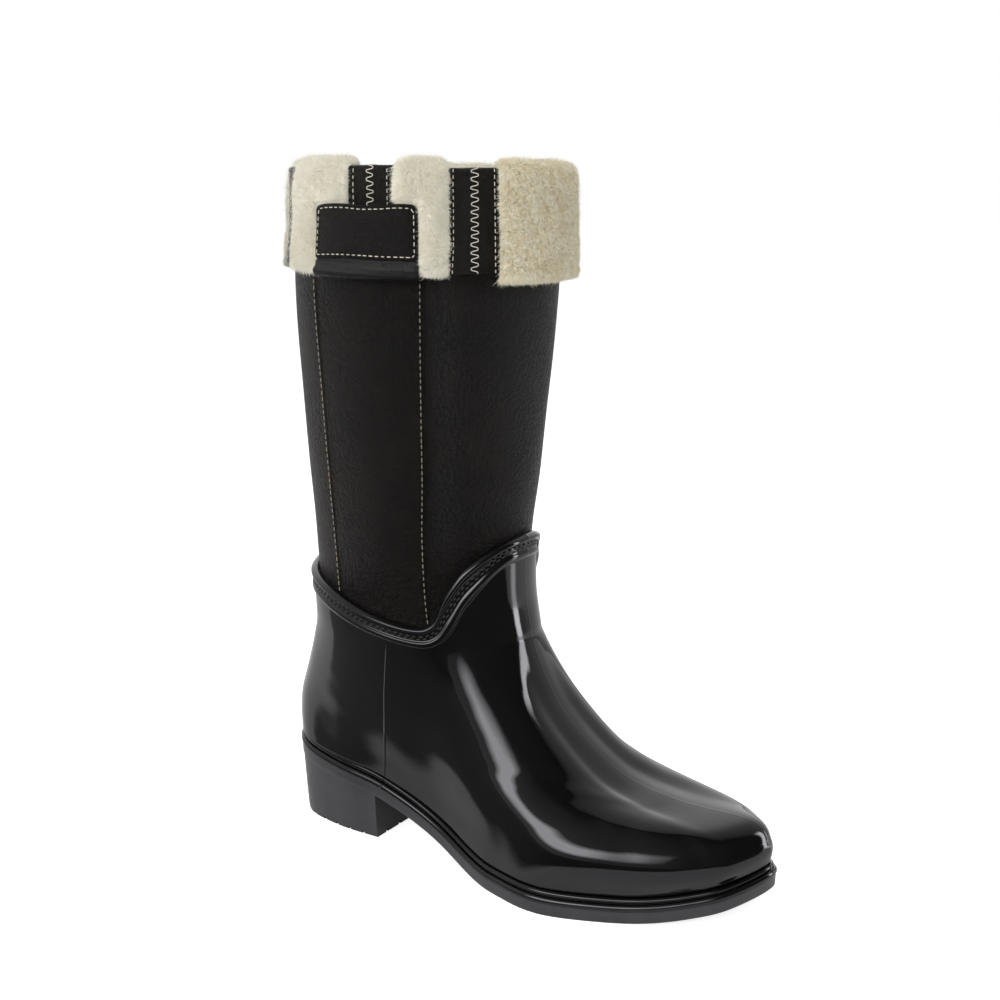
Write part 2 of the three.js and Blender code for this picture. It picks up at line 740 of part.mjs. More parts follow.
// The strap: a leg behind the cuff, a fold under the cuff's lower edge and a flap that lies on the
// fleece and swings down about the crease. Its points are measured across it, outward and in height,
// from the point of the leg behind the middle of the crease.
const strapColumns = 8;
const strapPlaces = steps(strapColumns).map((share) => mix(-1, 1, share));
const strapMiddle = legPoint(strapAngle, strapCreaseHeight);
const [, creaseHalfDepth, creaseHalfWidth] = legSection(strapCreaseHeight);
const strapAcross = vector(
  -creaseHalfDepth * Math.sin(strapAngle),
  creaseHalfWidth * Math.cos(strapAngle),
  0,
).normalize();
const strapOutward = vector(strapAcross.y, -strapAcross.x, 0);
const strapTurn = Math.atan2(strapAcross.y, strapAcross.x);

const strapPoint = (across, outward, height) => strapMiddle.clone()
  .addScaledVector(strapAcross, across)
  .addScaledVector(strapOutward, outward)
  .setZ(height);

// How far outward the leg reaches at a place across the strap
function legOutward(across, height) {
  const [axis, halfDepth, halfWidth] = legSection(height);
  const x = (strapMiddle.x - axis + across * strapAcross.x) / halfDepth;
  const y = (strapMiddle.y + across * strapAcross.y) / halfWidth;
  const [outX, outY] = [strapOutward.x / halfDepth, strapOutward.y / halfWidth];
  const square = outX * outX + outY * outY;
  const half = outX * x + outY * y;
  return (Math.sqrt(half * half - square * (x * x + y * y - 1)) - half) / square;
}

const strapPlace = (share, more = 0) => strapStandOff + more - strapSag * share * share;

// A sheet of leather along a path of outward places and heights, given for each share across it
function sheetSolid(halfWidth, pathAt, thickness) {
  const sides = [1, -1].map((side) => strapPlaces.map((share) => {
    const path = pathAt(share).map(([outward, height]) => new THREE.Vector2(outward, height));
    return path.map((place, index) => {
      const next = path[Math.min(index + 1, path.length - 1)];
      const previous = path[Math.max(index - 1, 0)];
      const along = next.clone().sub(previous).normalize();
      const outward = place.x + side * along.y * thickness / 2;
      return strapPoint(share * halfWidth, outward, place.y - side * along.x * thickness / 2);
    });
  }));
  return wallSolid(sides[0], sides[1], false);
}

// A round disc or pin through the strap, from its inner to its outer place
function roundThrough(radius, height, inner, outer) {
  const disc = new THREE.CylinderGeometry(radius, radius, outer - inner, studSides);
  disc.translate(0, -(inner + outer) / 2, 0).rotateZ(strapTurn);
  return disc.translate(strapMiddle.x, strapMiddle.y, height);
}

const strapInnerOffset = clearance / 2 + strapLeather / 2;

function strapAnchorSolid() {
  return sheetSolid(strapHalfWidth, (share) => {
    const onLeg = (height) => legOutward(share * strapHalfWidth, height) + strapInnerOffset;
    const outer = strapPlace(share);
    const fold = onLeg(strapFoldHeight);
    return [
      [onLeg(strapInnerTop), strapInnerTop],
      [onLeg(strapFoldHeight + strapLeather), strapFoldHeight + strapLeather],
      [mix(fold, outer, 0.25), strapFoldHeight],
      [mix(fold, outer, 0.75), strapFoldHeight],
      [outer, strapFoldHeight + strapLeather],
      [outer, strapCreaseHeight - clearance / 2],
    ].reverse();
  }, strapLeather);
}

addPiece("strap_anchor", strapAnchorSolid(), grainedShaft);

// The press stud: a post on the tape and a socket set in the flap
const studHeight = mix(strapCreaseHeight, strapTopHeight, 0.5);
const studSeatPlace = legOutward(0, studHeight) + studSeat;
const flapInner = strapStandOff - strapLeather / 2;
const flapOuter = strapStandOff + strapLeather / 2;
const wayThrough = [0, 2 * strapStandOff];

const postBase = roundThrough(postBaseRadius, studHeight, studSeatPlace, studSeatPlace + postBaseThickness);
const postNub = roundThrough(postRadius, studHeight, studSeatPlace, flapOuter - 2 * clearance);
addPiece("stud_post", fromManifold(toManifold(postBase).add(toManifold(postNub))), brightSteel);

const socketDisc = roundThrough(socketRadius, studHeight, flapInner - socketStandProud, flapOuter);
const socketBore = roundThrough(postRadius + studPlay, studHeight, ...wayThrough);
addPiece("stud_socket", cutAway(socketDisc, [socketBore]), brightSteel);

const flapHole = roundThrough(socketRadius + clearance, studHeight, ...wayThrough);
const flapSheet = sheetSolid(strapHalfWidth, (share) => [
  [strapPlace(share), strapCreaseHeight + clearance / 2],
  [strapPlace(share), mix(strapCreaseHeight, strapTopHeight, 0.5)],
  [strapPlace(share), strapTopHeight],
], strapLeather);
addPiece("strap_flap", cutAway(flapSheet, [flapHole]), grainedShaft);

// The bare label patch sewn on the flap
const patchMargin = 0.6;
const patchOutward = strapLeather + clearance;
addPiece("label_patch", sheetSolid(strapHalfWidth - patchMargin, (share) => [
  [strapPlace(share, patchOutward), strapCreaseHeight + patchMargin],
  [strapPlace(share, patchOutward), mix(strapCreaseHeight, strapTopHeight, 0.5)],
  [strapPlace(share, patchOutward), strapTopHeight - patchMargin],
], strapLeather), tapeSkin);

// The fleece of the cuff, in six panels between the tapes and pressed in under the strap
const fleeceColumnAngle = 8 * degrees;
const fleecePile = 3.4;
const fleeceFrontExtra = 3.6;
const fleeceGap = 0.35;
const fleeceRound = 3.4;
const fleeceHang = 3.5;

const fleeceOutside = (angle) => (
  fleeceSeat(angle) + fleecePile + fleeceFrontExtra * (1 + Math.cos(angle)) / 2);
const fleeceLow = (angle) => cuffLowHeight - fleeceHang * easeShare(Math.cos(angle), 0.55, 0.95);

function fleeceSolid(from, to) {
  const gap = (angle) => tapeHalfAngle(angle) + arcAngle(angle, fleeceGap);
  const [start, end] = [from + gap(from), to - gap(to)];
  const count = Math.max(Math.round((end - start) / fleeceColumnAngle), 3);
  const innerFace = panelBack - clearance;
  const innerTop = -liningBack;
  return cuffStrip(anglesBetween(start, end, count), (angle) => [
    [fleeceOutside(angle) - fleeceRound / 2, fleeceLow(angle)],
    [fleeceOutside(angle), fleeceLow(angle) + fleeceRound],
    [fleeceOutside(angle), cuffMiddleHeight],
    [fleeceOutside(angle), cuffTopHeight - 2 * fleeceRound],
    [fleeceOutside(angle) - fleeceRound / 2, cuffTopHeight - fleeceRound / 2],
    [mix(fleeceOutside(angle), innerTop, 0.5), cuffTopHeight],
    [innerTop + fleeceRound / 3, cuffTopHeight - fleeceRound / 2],
    [innerTop, cuffTopHeight - 2 * fleeceRound],
    [innerTop, cuffInnerHeight],
  ], (angle) => [
    [fleeceSeat(angle), fleeceLow(angle)],
    [fleeceSeat(angle), fleeceLow(angle) + fleeceRound],
    [fleeceSeat(angle), cuffMiddleHeight],
    [fleeceSeat(angle), tapeSeatHeight - 2 * clearance],
    [fleeceSeat(angle) - clearance, tapeSeatHeight],
    [mix(fleeceSeat(angle), innerFace, 0.5), tapeSeatHeight],
    [innerFace + clearance, tapeSeatHeight],
    [innerFace, tapeSeatHeight - 2 * clearance],
    [innerFace, cuffInnerHeight],
  ], false);
}

// The space that the strap and its swing take out of the fleece
const strapSpaceDepth = 12;
const strapSpaceMore = strapSpaceDepth / 2 - strapLeather / 2 - clearance;
const strapSpace = sheetSolid(strapHalfWidth + 2 * clearance, (share) => [
  [strapPlace(share, strapSpaceMore), cuffLowHeight - fleeceHang - cutOverrun],
  [strapPlace(share, strapSpaceMore), strapTopHeight + 2 * clearance],
], strapSpaceDepth);
const studSpace = roundThrough(postBaseRadius + 2 * clearance, studHeight, ...wayThrough);

const fleeceNames = ["inner_front", "inner_rear", "back", "outer_rear", "outer_front", "front"];
tapeAngles.forEach((angle, index) => {
  const next = index === tapeAngles.length - 1 ? tapeAngles[0] + fullTurn : tapeAngles[index + 1];
  const fleece = fleeceSolid(angle, next);
  const pressed = ["outer_rear", "outer_front"].includes(fleeceNames[index]);
  const shaped = pressed ? cutAway(fleece, [strapSpace, studSpace]) : fleece;
  addPiece(`cuff_fleece_${fleeceNames[index]}`, shaped, creamFleece);
});

// The origin is on the ground, under the middle of the boot's box
const box = new THREE.Box3().setFromObject(boot);
boot.position.set(-(box.min.x + box.max.x) / 2, -(box.min.y + box.max.y) / 2, -box.min.z);
boot.updateMatrixWorld(true);

export default boot;
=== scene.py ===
import math

import bpy
import numpy as np
from mathutils import Matrix, Vector


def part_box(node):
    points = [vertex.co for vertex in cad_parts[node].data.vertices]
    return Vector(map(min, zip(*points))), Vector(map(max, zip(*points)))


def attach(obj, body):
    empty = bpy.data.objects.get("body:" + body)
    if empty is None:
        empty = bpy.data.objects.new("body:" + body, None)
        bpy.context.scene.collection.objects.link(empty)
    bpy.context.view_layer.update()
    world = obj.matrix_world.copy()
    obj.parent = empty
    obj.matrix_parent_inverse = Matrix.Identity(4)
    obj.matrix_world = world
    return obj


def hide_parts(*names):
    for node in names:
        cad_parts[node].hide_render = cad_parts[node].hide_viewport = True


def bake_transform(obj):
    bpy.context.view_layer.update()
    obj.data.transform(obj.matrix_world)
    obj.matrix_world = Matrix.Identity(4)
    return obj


# A right mid-calf rain boot. The shapes follow the same formulas as the CAD model, in millimetres with
# X from the back of the heel to the toe, and are moved into the row frame when a mesh is made.

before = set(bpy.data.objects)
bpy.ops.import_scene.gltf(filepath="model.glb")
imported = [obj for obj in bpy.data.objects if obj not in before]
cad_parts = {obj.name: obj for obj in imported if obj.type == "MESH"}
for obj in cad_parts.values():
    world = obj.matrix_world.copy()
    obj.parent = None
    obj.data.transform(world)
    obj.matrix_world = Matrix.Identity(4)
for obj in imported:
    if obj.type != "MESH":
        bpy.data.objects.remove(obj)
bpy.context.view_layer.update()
STITCH_DRAWS = np.random.default_rng(7)
STITCH_JITTER_SHARE = 0.04

# Sizes, as in the CAD model, and the resolution of its surface
MM = 0.001
SOLE_LENGTH, BALL_WIDTH = 268.0, 95.0
HEEL_RIM, SEAT_RIM, SEAT_LENGTH = 43.3, 34.6, 60.0
BALL_START, SPRING_START, TOE_SPRING, SOLE_THICK = 150.0, 205.0, 13.4, 9.1
ANKLE, SHAFT_TOP = 112.0, 334.0
LEG_AXIS, LEG_DEPTH, LEG_WIDTH = 80.0, 133.4, 114.8
TOP_FRONT, TOP_DIP, BAND = 164.5, 122.4, 10.0
CUFF_LOW, CUFF_TOP, CUFF_INNER = 290.8, 342.6, 322.0
WALL = 2.5
PANEL_FACE, PANEL_WALL = 0.5, 1.4
LINING_FACE, LINING_BACK = 2.55, 6.55
RIM_LEDGE, HEEL_LEDGE = 3.0, 0.8
LEDGE_FADE_SHARES = 0.55, 0.9
SEAT_RISE = 3.0
FRONT_SEAM, REAR_SEAM = math.radians(60), math.radians(112)
TAPES = [math.radians(a) for a in (39.8, 78, 149, 223, 279.8, 320.2)]
TAPE_NAMES = ["inner_front", "inner_side", "inner_rear", "outer_rear", "outer_side", "outer_front"]
FLEECE_NAMES = ["inner_front", "inner_rear", "back", "outer_rear", "outer_front", "front"]
TAPE_WIDTH, TAPE_THICK = 23.0, 1.3
ROWS, STEP = 6, 16.0

# Round half of the sole from the toe: place along it, half widths on both sides, turn round the leg
OUTLINE_SHARES = np.array([
    [1.0, 0.084, 0.084, 0.0], [0.96, 0.263, -0.158, 0.067], [0.9, 0.379, -0.279, 0.122],
    [0.8, 0.453, -0.416, 0.178], [0.66, 0.453, -0.551, 0.249], [0.54, 0.342, -0.489, 0.311],
    [0.4, 0.279, -0.358, 0.394], [0.27, 0.3, -0.335, 0.5], [0.15, 0.324, -0.326, 0.633],
    [0.05, 0.253, -0.242, 0.806], [0.0, 0.0, 0.0, 1.0],
])
# Up the leg: axis, half depth and half width
LEG_SHARES = np.array([
    [0.0, 0.989, 0.446, 0.3746], [0.104, 0.962, 0.435, 0.379], [0.239, 0.959, 0.44, 0.4],
    [0.374, 0.973, 0.4625, 0.4285], [0.509, 0.985, 0.476, 0.457], [0.779, 1.008, 0.503, 0.503],
    [0.901, 1.025, 0.489, 0.495], [1.0, 1.025, 0.487, 0.491],
])
# At stations round the sole: how far each row has gone towards the ankle, in plan and in height
RISE_STATIONS = np.array([0, 4, 6.5, 10])
RISE_SHARES = np.array([
    [[0.0, 0.113], [0.068, 0.205], [0.364, 0.228], [0.623, 0.333], [0.868, 0.632]],
    [[-0.1, 0.162], [0.07, 0.281], [0.39, 0.415], [0.56, 0.524], [0.815, 0.759]],
    [[0.14, 0.15], [0.34, 0.32], [0.55, 0.5], [0.74, 0.67], [0.88, 0.84]],
    [[-0.05, 0.144], [0.01, 0.3], [0.27, 0.467], [0.57, 0.655], [0.835, 0.833]],
])
# Round half of the leg: height of the topline, width of the band
TOPLINE_SHARES = np.array([
    [0.0, 1.0, 1.05], [0.111, 0.94, 1.1], [0.222, 0.7, 1.75], [0.278, 0.41, 1.9], [0.317, 0.095, 1.15],
    [0.367, 0.0, 0.95], [0.5, 0.09, 0.95], [0.694, 0.29, 1.0], [1.0, 0.44, 1.0],
])


def unit(v):
    return v / np.linalg.norm(v, axis=-1, keepdims=True)


def ease(v, lo, hi):
    t = np.clip((np.asarray(v, float) - lo) / (hi - lo), 0, 1)
    return t * t * (3 - 2 * t)


def catmull(a, b, c, d, t):
    return b + 0.5 * t * (c - a + t * (2 * a - 5 * b + 4 * c - d + t * (3 * (b - c) + d - a)))


def through(places, values, place):
    """A smooth curve through values at places."""
    place = np.asarray(place, float)
    last = len(places) - 1
    i = np.clip(np.searchsorted(places, place, side="left") - 1, 0, last - 1)

    def slope(k):
        f, t = np.maximum(k - 1, 0), np.minimum(k + 1, last)
        return (values[t] - values[f]) / (places[t] - places[f])

    span = places[i + 1] - places[i]
    s = (place - places[i]) / span
    r = 1 - s
    return (r * r * (1 + 2 * s) * values[i] + s * s * (3 - 2 * s) * values[i + 1]
            + s * r * span * (r * slope(i) - s * slope(i + 1)))


inner_side = [[x, m, a / 2] for x, m, _, a in OUTLINE_SHARES]
outer_side = [[x, l, 1 - a / 2] for x, _, l, a in OUTLINE_SHARES[1:-1][::-1]]
KNOTS = np.array(inner_side + outer_side)
NK = len(KNOTS)


def outline_value(turn, index):
    place = np.asarray(turn, float) * NK
    knot = np.floor(place).astype(int)

    def at(o):
        k = knot + o
        v = KNOTS[k % NK, index]
        return v + (k // NK if index == 2 else 0)

    return catmull(at(-1), at(0), at(1), at(2), place - knot)


def leg_angle(turn):
    return outline_value(turn, 2) * 2 * math.pi


def outline_point(turn, inset):
    """A point of the sole's outline, drawn in by an inset; turn goes once round from 0 to 1."""
    e = 1e-3
    x = outline_value(turn, 0) * SOLE_LENGTH
    y = outline_value(turn, 1) * BALL_WIDTH
    dx = (outline_value(turn + e, 0) - outline_value(turn - e, 0)) * SOLE_LENGTH
    dy = (outline_value(turn + e, 1) - outline_value(turn - e, 1)) * BALL_WIDTH
    n = np.hypot(dx, dy)
    return x - dy / n * inset, y + dx / n * inset


def rim_height(x):
    x = np.asarray(x, float)
    slope = (SEAT_RIM - HEEL_RIM) / SEAT_LENGTH
    rise = np.maximum(x - SPRING_START, 0) / (SOLE_LENGTH - SPRING_START)
    span = BALL_START - SEAT_LENGTH
    s = np.clip((x - SEAT_LENGTH) / span, 0, 1)
    r = 1 - s
    low = r * r * ((1 + 2 * s) * SEAT_RIM + s * span * slope)
    fore = low + s * s * (3 - 2 * s) * SOLE_THICK + TOE_SPRING * rise * rise
    return np.where(x < SEAT_LENGTH, HEEL_RIM + slope * x, fore)


def ledge(turn):
    rear = 2 * np.abs(turn - np.round(turn))
    return RIM_LEDGE + (HEEL_LEDGE - RIM_LEDGE) * ease(rear, *LEDGE_FADE_SHARES)


def leg_section(z):
    s = (np.asarray(z, float) - ANKLE) / (SHAFT_TOP - ANKLE)
    sizes = (LEG_AXIS, LEG_DEPTH, LEG_WIDTH)
    return [through(LEG_SHARES[:, 0], LEG_SHARES[:, k], s) * size for k, size in enumerate(sizes, 1)]


def leg_normal(angle, z):
    _, hd, hw = leg_section(z)
    nx, ny = np.cos(angle) / hd, np.sin(angle) / hw
    n = np.hypot(nx, ny)
    nx, ny = np.broadcast_arrays(nx / n, ny / n)
    return np.stack([nx, ny, np.zeros_like(nx)], -1)


def leg_point(angle, z, offset=0.0):
    angle, z, offset = np.broadcast_arrays(*(np.asarray(v, float) for v in (angle, z, offset)))
    axis, hd, hw = leg_section(z)
    p = np.stack([axis + hd * np.cos(angle), hw * np.sin(angle), z], -1)
    return p + leg_normal(angle, z) * offset[..., None]


def folded(angle):
    return np.abs(angle - 2 * math.pi * np.round(angle / (2 * math.pi)))


def topline(angle):
    s = through(TOPLINE_SHARES[:, 0], TOPLINE_SHARES[:, 1], folded(angle) / math.pi)
    return TOP_DIP + (TOP_FRONT - TOP_DIP) * s


def band_low(angle):
    width = through(TOPLINE_SHARES[:, 0], TOPLINE_SHARES[:, 2], folded(angle) / math.pi)
    return topline(angle) - BAND * width


def row_at(z):
    return ROWS + (z - ANKLE) / STEP


def surface(turns, rows):
    """The surface on which the moulded foot and the shaft meet: turns (n,), rows (n, m)."""
    angle = leg_angle(turns)
    x, y = outline_point(turns, ledge(turns) + WALL)
    base = np.stack([x, y, rim_height(x) + SEAT_RISE], -1)
    ankle = leg_point(angle, ANKLE)
    place = 2 * np.abs(turns - np.round(turns)) * (len(OUTLINE_SHARES) - 1)
    st = np.clip(np.searchsorted(RISE_STATIONS, place, side="right") - 1, 0, len(RISE_STATIONS) - 2)
    lo, hi = RISE_STATIONS[st], RISE_STATIONS[st + 1]
    share = ease((place - lo) / (hi - lo), 0, 1)[:, None]
    rings = [base]
    for k in range(ROWS - 1):
        plan_height = RISE_SHARES[st, k] * (1 - share) + RISE_SHARES[st + 1, k] * share
        rings.append(base + (ankle - base) * plan_height[:, [0, 0, 1]])
    rings += [ankle, leg_point(angle, ANKLE + STEP)]
    rings = np.stack([2 * base - rings[1]] + rings)
    rows = np.broadcast_to(rows, (len(turns), np.shape(rows)[-1]))
    k = np.clip(np.floor(rows).astype(int), 0, ROWS - 1)
    t = (rows - k)[..., None]
    col = np.arange(len(turns))[:, None]
    last = np.minimum(k + 3, ROWS + 2)
    p = catmull(rings[k, col], rings[k + 1, col], rings[k + 2, col], rings[last, col], t)
    up = leg_point(angle[:, None], ANKLE + (rows - ROWS) * STEP)
    return np.where((rows >= ROWS)[..., None], up, p)


# A finely smoothed copy of that surface
COLS = 400
TURNS = np.arange(COLS) / COLS
ANGLES = leg_angle(TURNS)
GRID_STEP = 0.05
GRID_ROWS = np.arange(0, 10.5 + 1e-9, GRID_STEP)
SMOOTH_PASSES, SMOOTH_IN, SMOOTH_OUT = 45, 0.5, -0.53


def taubin(p, passes):
    """Smooths a grid without shrinking it: each pass draws points in and then out again."""
    p = p.copy()
    for weight in (SMOOTH_IN, SMOOTH_OUT) * passes:
        side = 0.5 * (np.roll(p, 1, 0) + np.roll(p, -1, 0)) - p
        up = np.zeros_like(p)
        up[:, 1:-1] = 0.5 * (p[:, 2:] + p[:, :-2]) - p[:, 1:-1]
        up[:, 1:-1] = 0.5 * (up[:, 1:-1] + side[:, 1:-1])
        up[:, 0] = side[:, 0]
        up[:, -1] = side[:, -1]
        p += weight * up
    return p


def grid_normals(p, wrap=True):
    along = np.roll(p, -1, 0) - np.roll(p, 1, 0) if wrap else np.gradient(p, axis=0)
    return unit(np.cross(along, np.gradient(p, axis=1)))


BASE = taubin(surface(TURNS, GRID_ROWS), SMOOTH_PASSES)
BASE_N = grid_normals(BASE)


def skin(rows, offsets):
    """Points off the smooth surface: rows (n, m), offsets (m,) or (n, m)."""
    rows = np.broadcast_to(rows, (COLS, np.shape(rows)[-1]))
    place = np.clip(rows / GRID_STEP, 1, len(GRID_ROWS) - 3.001)
    place = np.where(rows / GRID_STEP < 1, rows / GRID_STEP, place)
    k = np.clip(np.floor(place).astype(int), 0, len(GRID_ROWS) - 3)
    t = (place - k)[..., None]
    col = np.arange(COLS)[:, None]
    km = np.maximum(k - 1, 0)
    p = catmull(np.where((k > 0)[..., None], BASE[col, km], 2 * BASE[col, k] - BASE[col, k + 1]),
                BASE[col, k], BASE[col, k + 1], BASE[col, k + 2], t)
    n = BASE_N[col, k] * (1 - t) + BASE_N[col, k + 1] * t
    level = ease(rows, 0, 0.8)
    n = unit(n * np.stack([np.ones_like(level), np.ones_like(level), level], -1))
    q = p + n * np.broadcast_to(offsets, rows.shape)[..., None]
    q[..., 2] += (rim_height(q[..., 0]) - rim_height(p[..., 0])) * (1 - level)
    return q, n


# Mesh making. The sole's solid gives the shift from the modelling frame to the row frame
sole_corner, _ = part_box("outsole")
rim_x, rim_y = outline_point(np.arange(60) / 60, 0.0)
SHIFT = np.array([sole_corner[0] / MM - rim_x.min(), sole_corner[1] / MM - rim_y.min(), 0.0])


def to_row(p):
    return (np.asarray(p, float) + SHIFT) * MM


def grid_faces(n, m, wrap, start=0):
    i = np.arange(n if wrap else n - 1)
    k = np.arange(m - 1)
    i, k = np.meshgrid(i, k, indexing="ij")
    j = (i + 1) % n
    return np.stack([i * m + k, j * m + k, j * m + k + 1, i * m + k + 1], -1).reshape(-1, 4) + start


def make_mesh(name, verts, faces, material, smooth=True):
    """verts in millimetres of the modelling frame; faces a list of arrays of one corner count each."""
    mesh = bpy.data.meshes.new(name)
    verts = to_row(verts)
    faces = [np.asarray(f, np.int64) for f in (faces if isinstance(faces, list) else [faces]) if len(f)]
    mesh.vertices.add(len(verts))
    mesh.vertices.foreach_set("co", verts.astype(np.float32).ravel())
    loops = np.concatenate([f.ravel() for f in faces])
    totals = np.concatenate([np.full(len(f), f.shape[1]) for f in faces])
    mesh.loops.add(len(loops))
    mesh.loops.foreach_set("vertex_index", loops.astype(np.int32))
    mesh.polygons.add(len(totals))
    mesh.polygons.foreach_set("loop_start", (np.cumsum(totals) - totals).astype(np.int32))
    mesh.update(calc_edges=True)
    mesh.validate()
    mesh.polygons.foreach_set("use_smooth", np.full(len(mesh.polygons), smooth))
    obj = bpy.data.objects.new(name, mesh)
    bpy.context.scene.collection.objects.link(obj)
    mesh.materials.append(material)
    return obj


def assign(obj, nodes=(), body="boot"):
    """Attaches a piece to its body and hides the CAD nodes that it stands for."""
    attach(obj, body)
    if nodes:
        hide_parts(*nodes)


# Materials
class Tree:
    """A node tree. A value is a number, a colour or another node's output, and a method gives one output."""

    def __init__(self, tree):
        self.nodes, self.links = tree.nodes, tree.links

    def put(self, node, values):
        for key, value in values.items():
            if isinstance(value, bpy.types.NodeSocket):
                self.links.new(value, node.inputs[key])
            else:
                node.inputs[key].default_value = value

    def add(self, kind, values=None, **settings):
        node = self.nodes.new("ShaderNode" + kind)
        for key, value in settings.items():
            setattr(node, key, value)
        self.put(node, values or {})
        return node

    def coords(self, space="Object"):
        return self.add("TexCoord").outputs[space]

    def split(self, vector):
        return self.add("SeparateXYZ", {0: vector}).outputs

    def noise(self, vec, scale, detail, rough=0.55, distortion=0.0, output="Fac"):
        values = {"Scale": scale, "Detail": detail, "Roughness": rough, "Distortion": distortion}
        return self.add("TexNoise", {"Vector": vec, **values}).outputs[output]

    def ramp(self, value, *stops):
        node = self.add("ValToRGB", {"Fac": value})
        elements = node.color_ramp.elements
        while len(elements) < len(stops):
            elements.new(0.5)
        for element, (at, tone) in zip(elements, stops):
            element.position = at
            element.color = (tone, tone, tone, 1) if isinstance(tone, (int, float)) else (*tone, 1)
        return node.outputs["Color"]

    def math(self, operation, *values):
        return self.add("Math", dict(enumerate(values)), operation=operation).outputs[0]

    def apart(self, first, second):
        return self.math("ABSOLUTE", self.math("SUBTRACT", first, second))

    def bumps(self, *layers):
        """Bumps on top of one another, each with its height, its depth in metres and its strength."""
        normal = {}
        for height, depth, strength in layers:
            values = {"Height": height, "Distance": depth, "Strength": strength}
            normal = {"Normal": self.add("Bump", {**values, **normal}).outputs["Normal"]}
        return normal["Normal"]

    def mix(self, share, first, second):
        return self.add("MixShader", {0: share, 1: first, 2: second}).outputs[0]

    def sum(self, first, second):
        return self.add("AddShader", {0: first, 1: second}).outputs[0]

    def glow(self, strength):
        return self.add("Emission", {"Strength": strength}).outputs[0]

    def ray(self, kind):
        return self.add("LightPath").outputs[f"Is {kind} Ray"]


def new_material(name):
    mat = bpy.data.materials.new(name)
    mat.use_nodes = True
    tree = Tree(mat.node_tree)
    return mat, tree, tree.nodes["Principled BSDF"], tree.coords()


def pvc_material():
    """Glossy black, slightly wavy and smeared, with fine mould seams down both sides and over the vamp."""
    mat, tree, bsdf, vec = new_material("pvc_gloss")
    x, y, z = tree.split(vec)
    side_at, side_slope, side_top, side_depth = (65.6 + SHIFT[0]) * MM, 0.19, 0.1125, 0.0003
    off = tree.math("MULTIPLY", tree.apart(x, tree.math("MULTIPLY_ADD", z, side_slope, side_at)), 1 / MM)
    side = tree.ramp(off, (0.0, 1.0), (0.35, 0.25), (0.8, 0.0))
    side = tree.math("MULTIPLY", side, tree.math("LESS_THAN", z, side_top))
    front_at, front_slope, front_depth = (0.2 + SHIFT[1]) * MM, 0.055, 0.00008
    way = tree.math("MULTIPLY_ADD", tree.math("MAXIMUM", x, 0.0), front_slope, front_at)
    front = tree.ramp(tree.math("MULTIPLY", tree.apart(y, way), 1 / MM), (0.0, 1.0), (0.5, 0.2), (0.9, 0.0))
    front = tree.math("MULTIPLY", front, tree.math("GREATER_THAN", x, 0.0))
    cloud = tree.noise(vec, 55, 2)
    smear = tree.noise(vec, 130, 5, 0.6)
    wave, fine = tree.noise(vec, 38, 1, 0.4), tree.noise(vec, 700, 2)
    wave_depth, fine_depth = 0.0006, 0.00001
    tree.put(bsdf, {
        "Base Color": tree.ramp(cloud, (0.3, (0.0021, 0.0019, 0.0018)), (0.7, (0.003, 0.0027, 0.0026))),
        "Roughness": tree.ramp(smear, (0.35, 0.03), (0.7, 0.055)),
        "IOR": 1.48,
        "Specular Tint": (0.94, 0.94, 1.0, 1),
        "Normal": tree.bumps((wave, wave_depth, 1.0), (fine, fine_depth, 1.0), (side, side_depth, 1.0),
                             (front, front_depth, 1.0)),
    })
    return mat


def rubber_material():
    mat, tree, bsdf, vec = new_material("sole_rubber_satin")
    grit_depth, dark, pale = 0.00003, (0.021, 0.021, 0.024), (0.03, 0.03, 0.034)
    tree.put(bsdf, {
        "Base Color": tree.ramp(tree.noise(vec, 90, 3), (0.3, dark), (0.75, pale)),
        "Roughness": tree.ramp(tree.noise(vec, 220, 4), (0.3, 0.3), (0.7, 0.42)),
        "Normal": tree.bumps((tree.noise(vec, 1500, 3), grit_depth, 1.0)),
    })
    return mat


def leather_material(name, dark, warm, gloss, grain):
    """Dark leather in two tones, with a fine cracked grain that glints where a lamp is mirrored."""
    mat, tree, bsdf, vec = new_material(name)
    big = tree.noise(vec, 16, 4, 0.6)
    patches = tree.noise(vec, 95, 5, 0.65)
    grit = tree.noise(vec, 2300, 3, 0.7)
    soft_lumps = tree.noise(vec, 520, 3, 0.6)
    creases = tree.noise(vec, 42, 2, 0.5)
    warp = tree.noise(vec, 420, 2, 0.5, output="Color")
    bent = tree.add("VectorMath", {0: warp, 1: (0.0007,) * 3, 2: vec}, operation="MULTIPLY_ADD")
    cells = tree.add("TexVoronoi", {"Scale": 900, "Vector": bent.outputs[0]}, feature="DISTANCE_TO_EDGE")
    cracks = tree.ramp(cells.outputs["Distance"], (0.0, 0.0), (0.18, 0.75), (0.5, 1.0))
    tone = tree.math("MULTIPLY_ADD", patches, 0.45, tree.math("MULTIPLY", big, 0.6))
    worn = tree.math("MULTIPLY_ADD", grit, 0.5, tree.math("MULTIPLY", big, 0.5))
    between = tuple(a * 0.75 + b * 0.25 for a, b in zip(dark, warm))
    crease_depth, crease_strength = 0.0004, 0.5
    tree.put(bsdf, {
        "Base Color": tree.ramp(tone, (0.4, dark), (0.58, between), (0.74, warm)),
        "Roughness": tree.ramp(worn, (0.35, 0.17), (0.65, 0.27)),
        "Specular IOR Level": gloss,
        "Sheen Weight": 0.03,
        "Sheen Roughness": 0.3,
        "Sheen Tint": (1.0, 0.82, 0.72, 1),
        "Normal": tree.bumps((cracks, grain, 1.0), (grit, grain * 1.6, 1.0), (soft_lumps, grain * 2.4, 1.0),
                             (creases, crease_depth, crease_strength)),
    })
    return mat


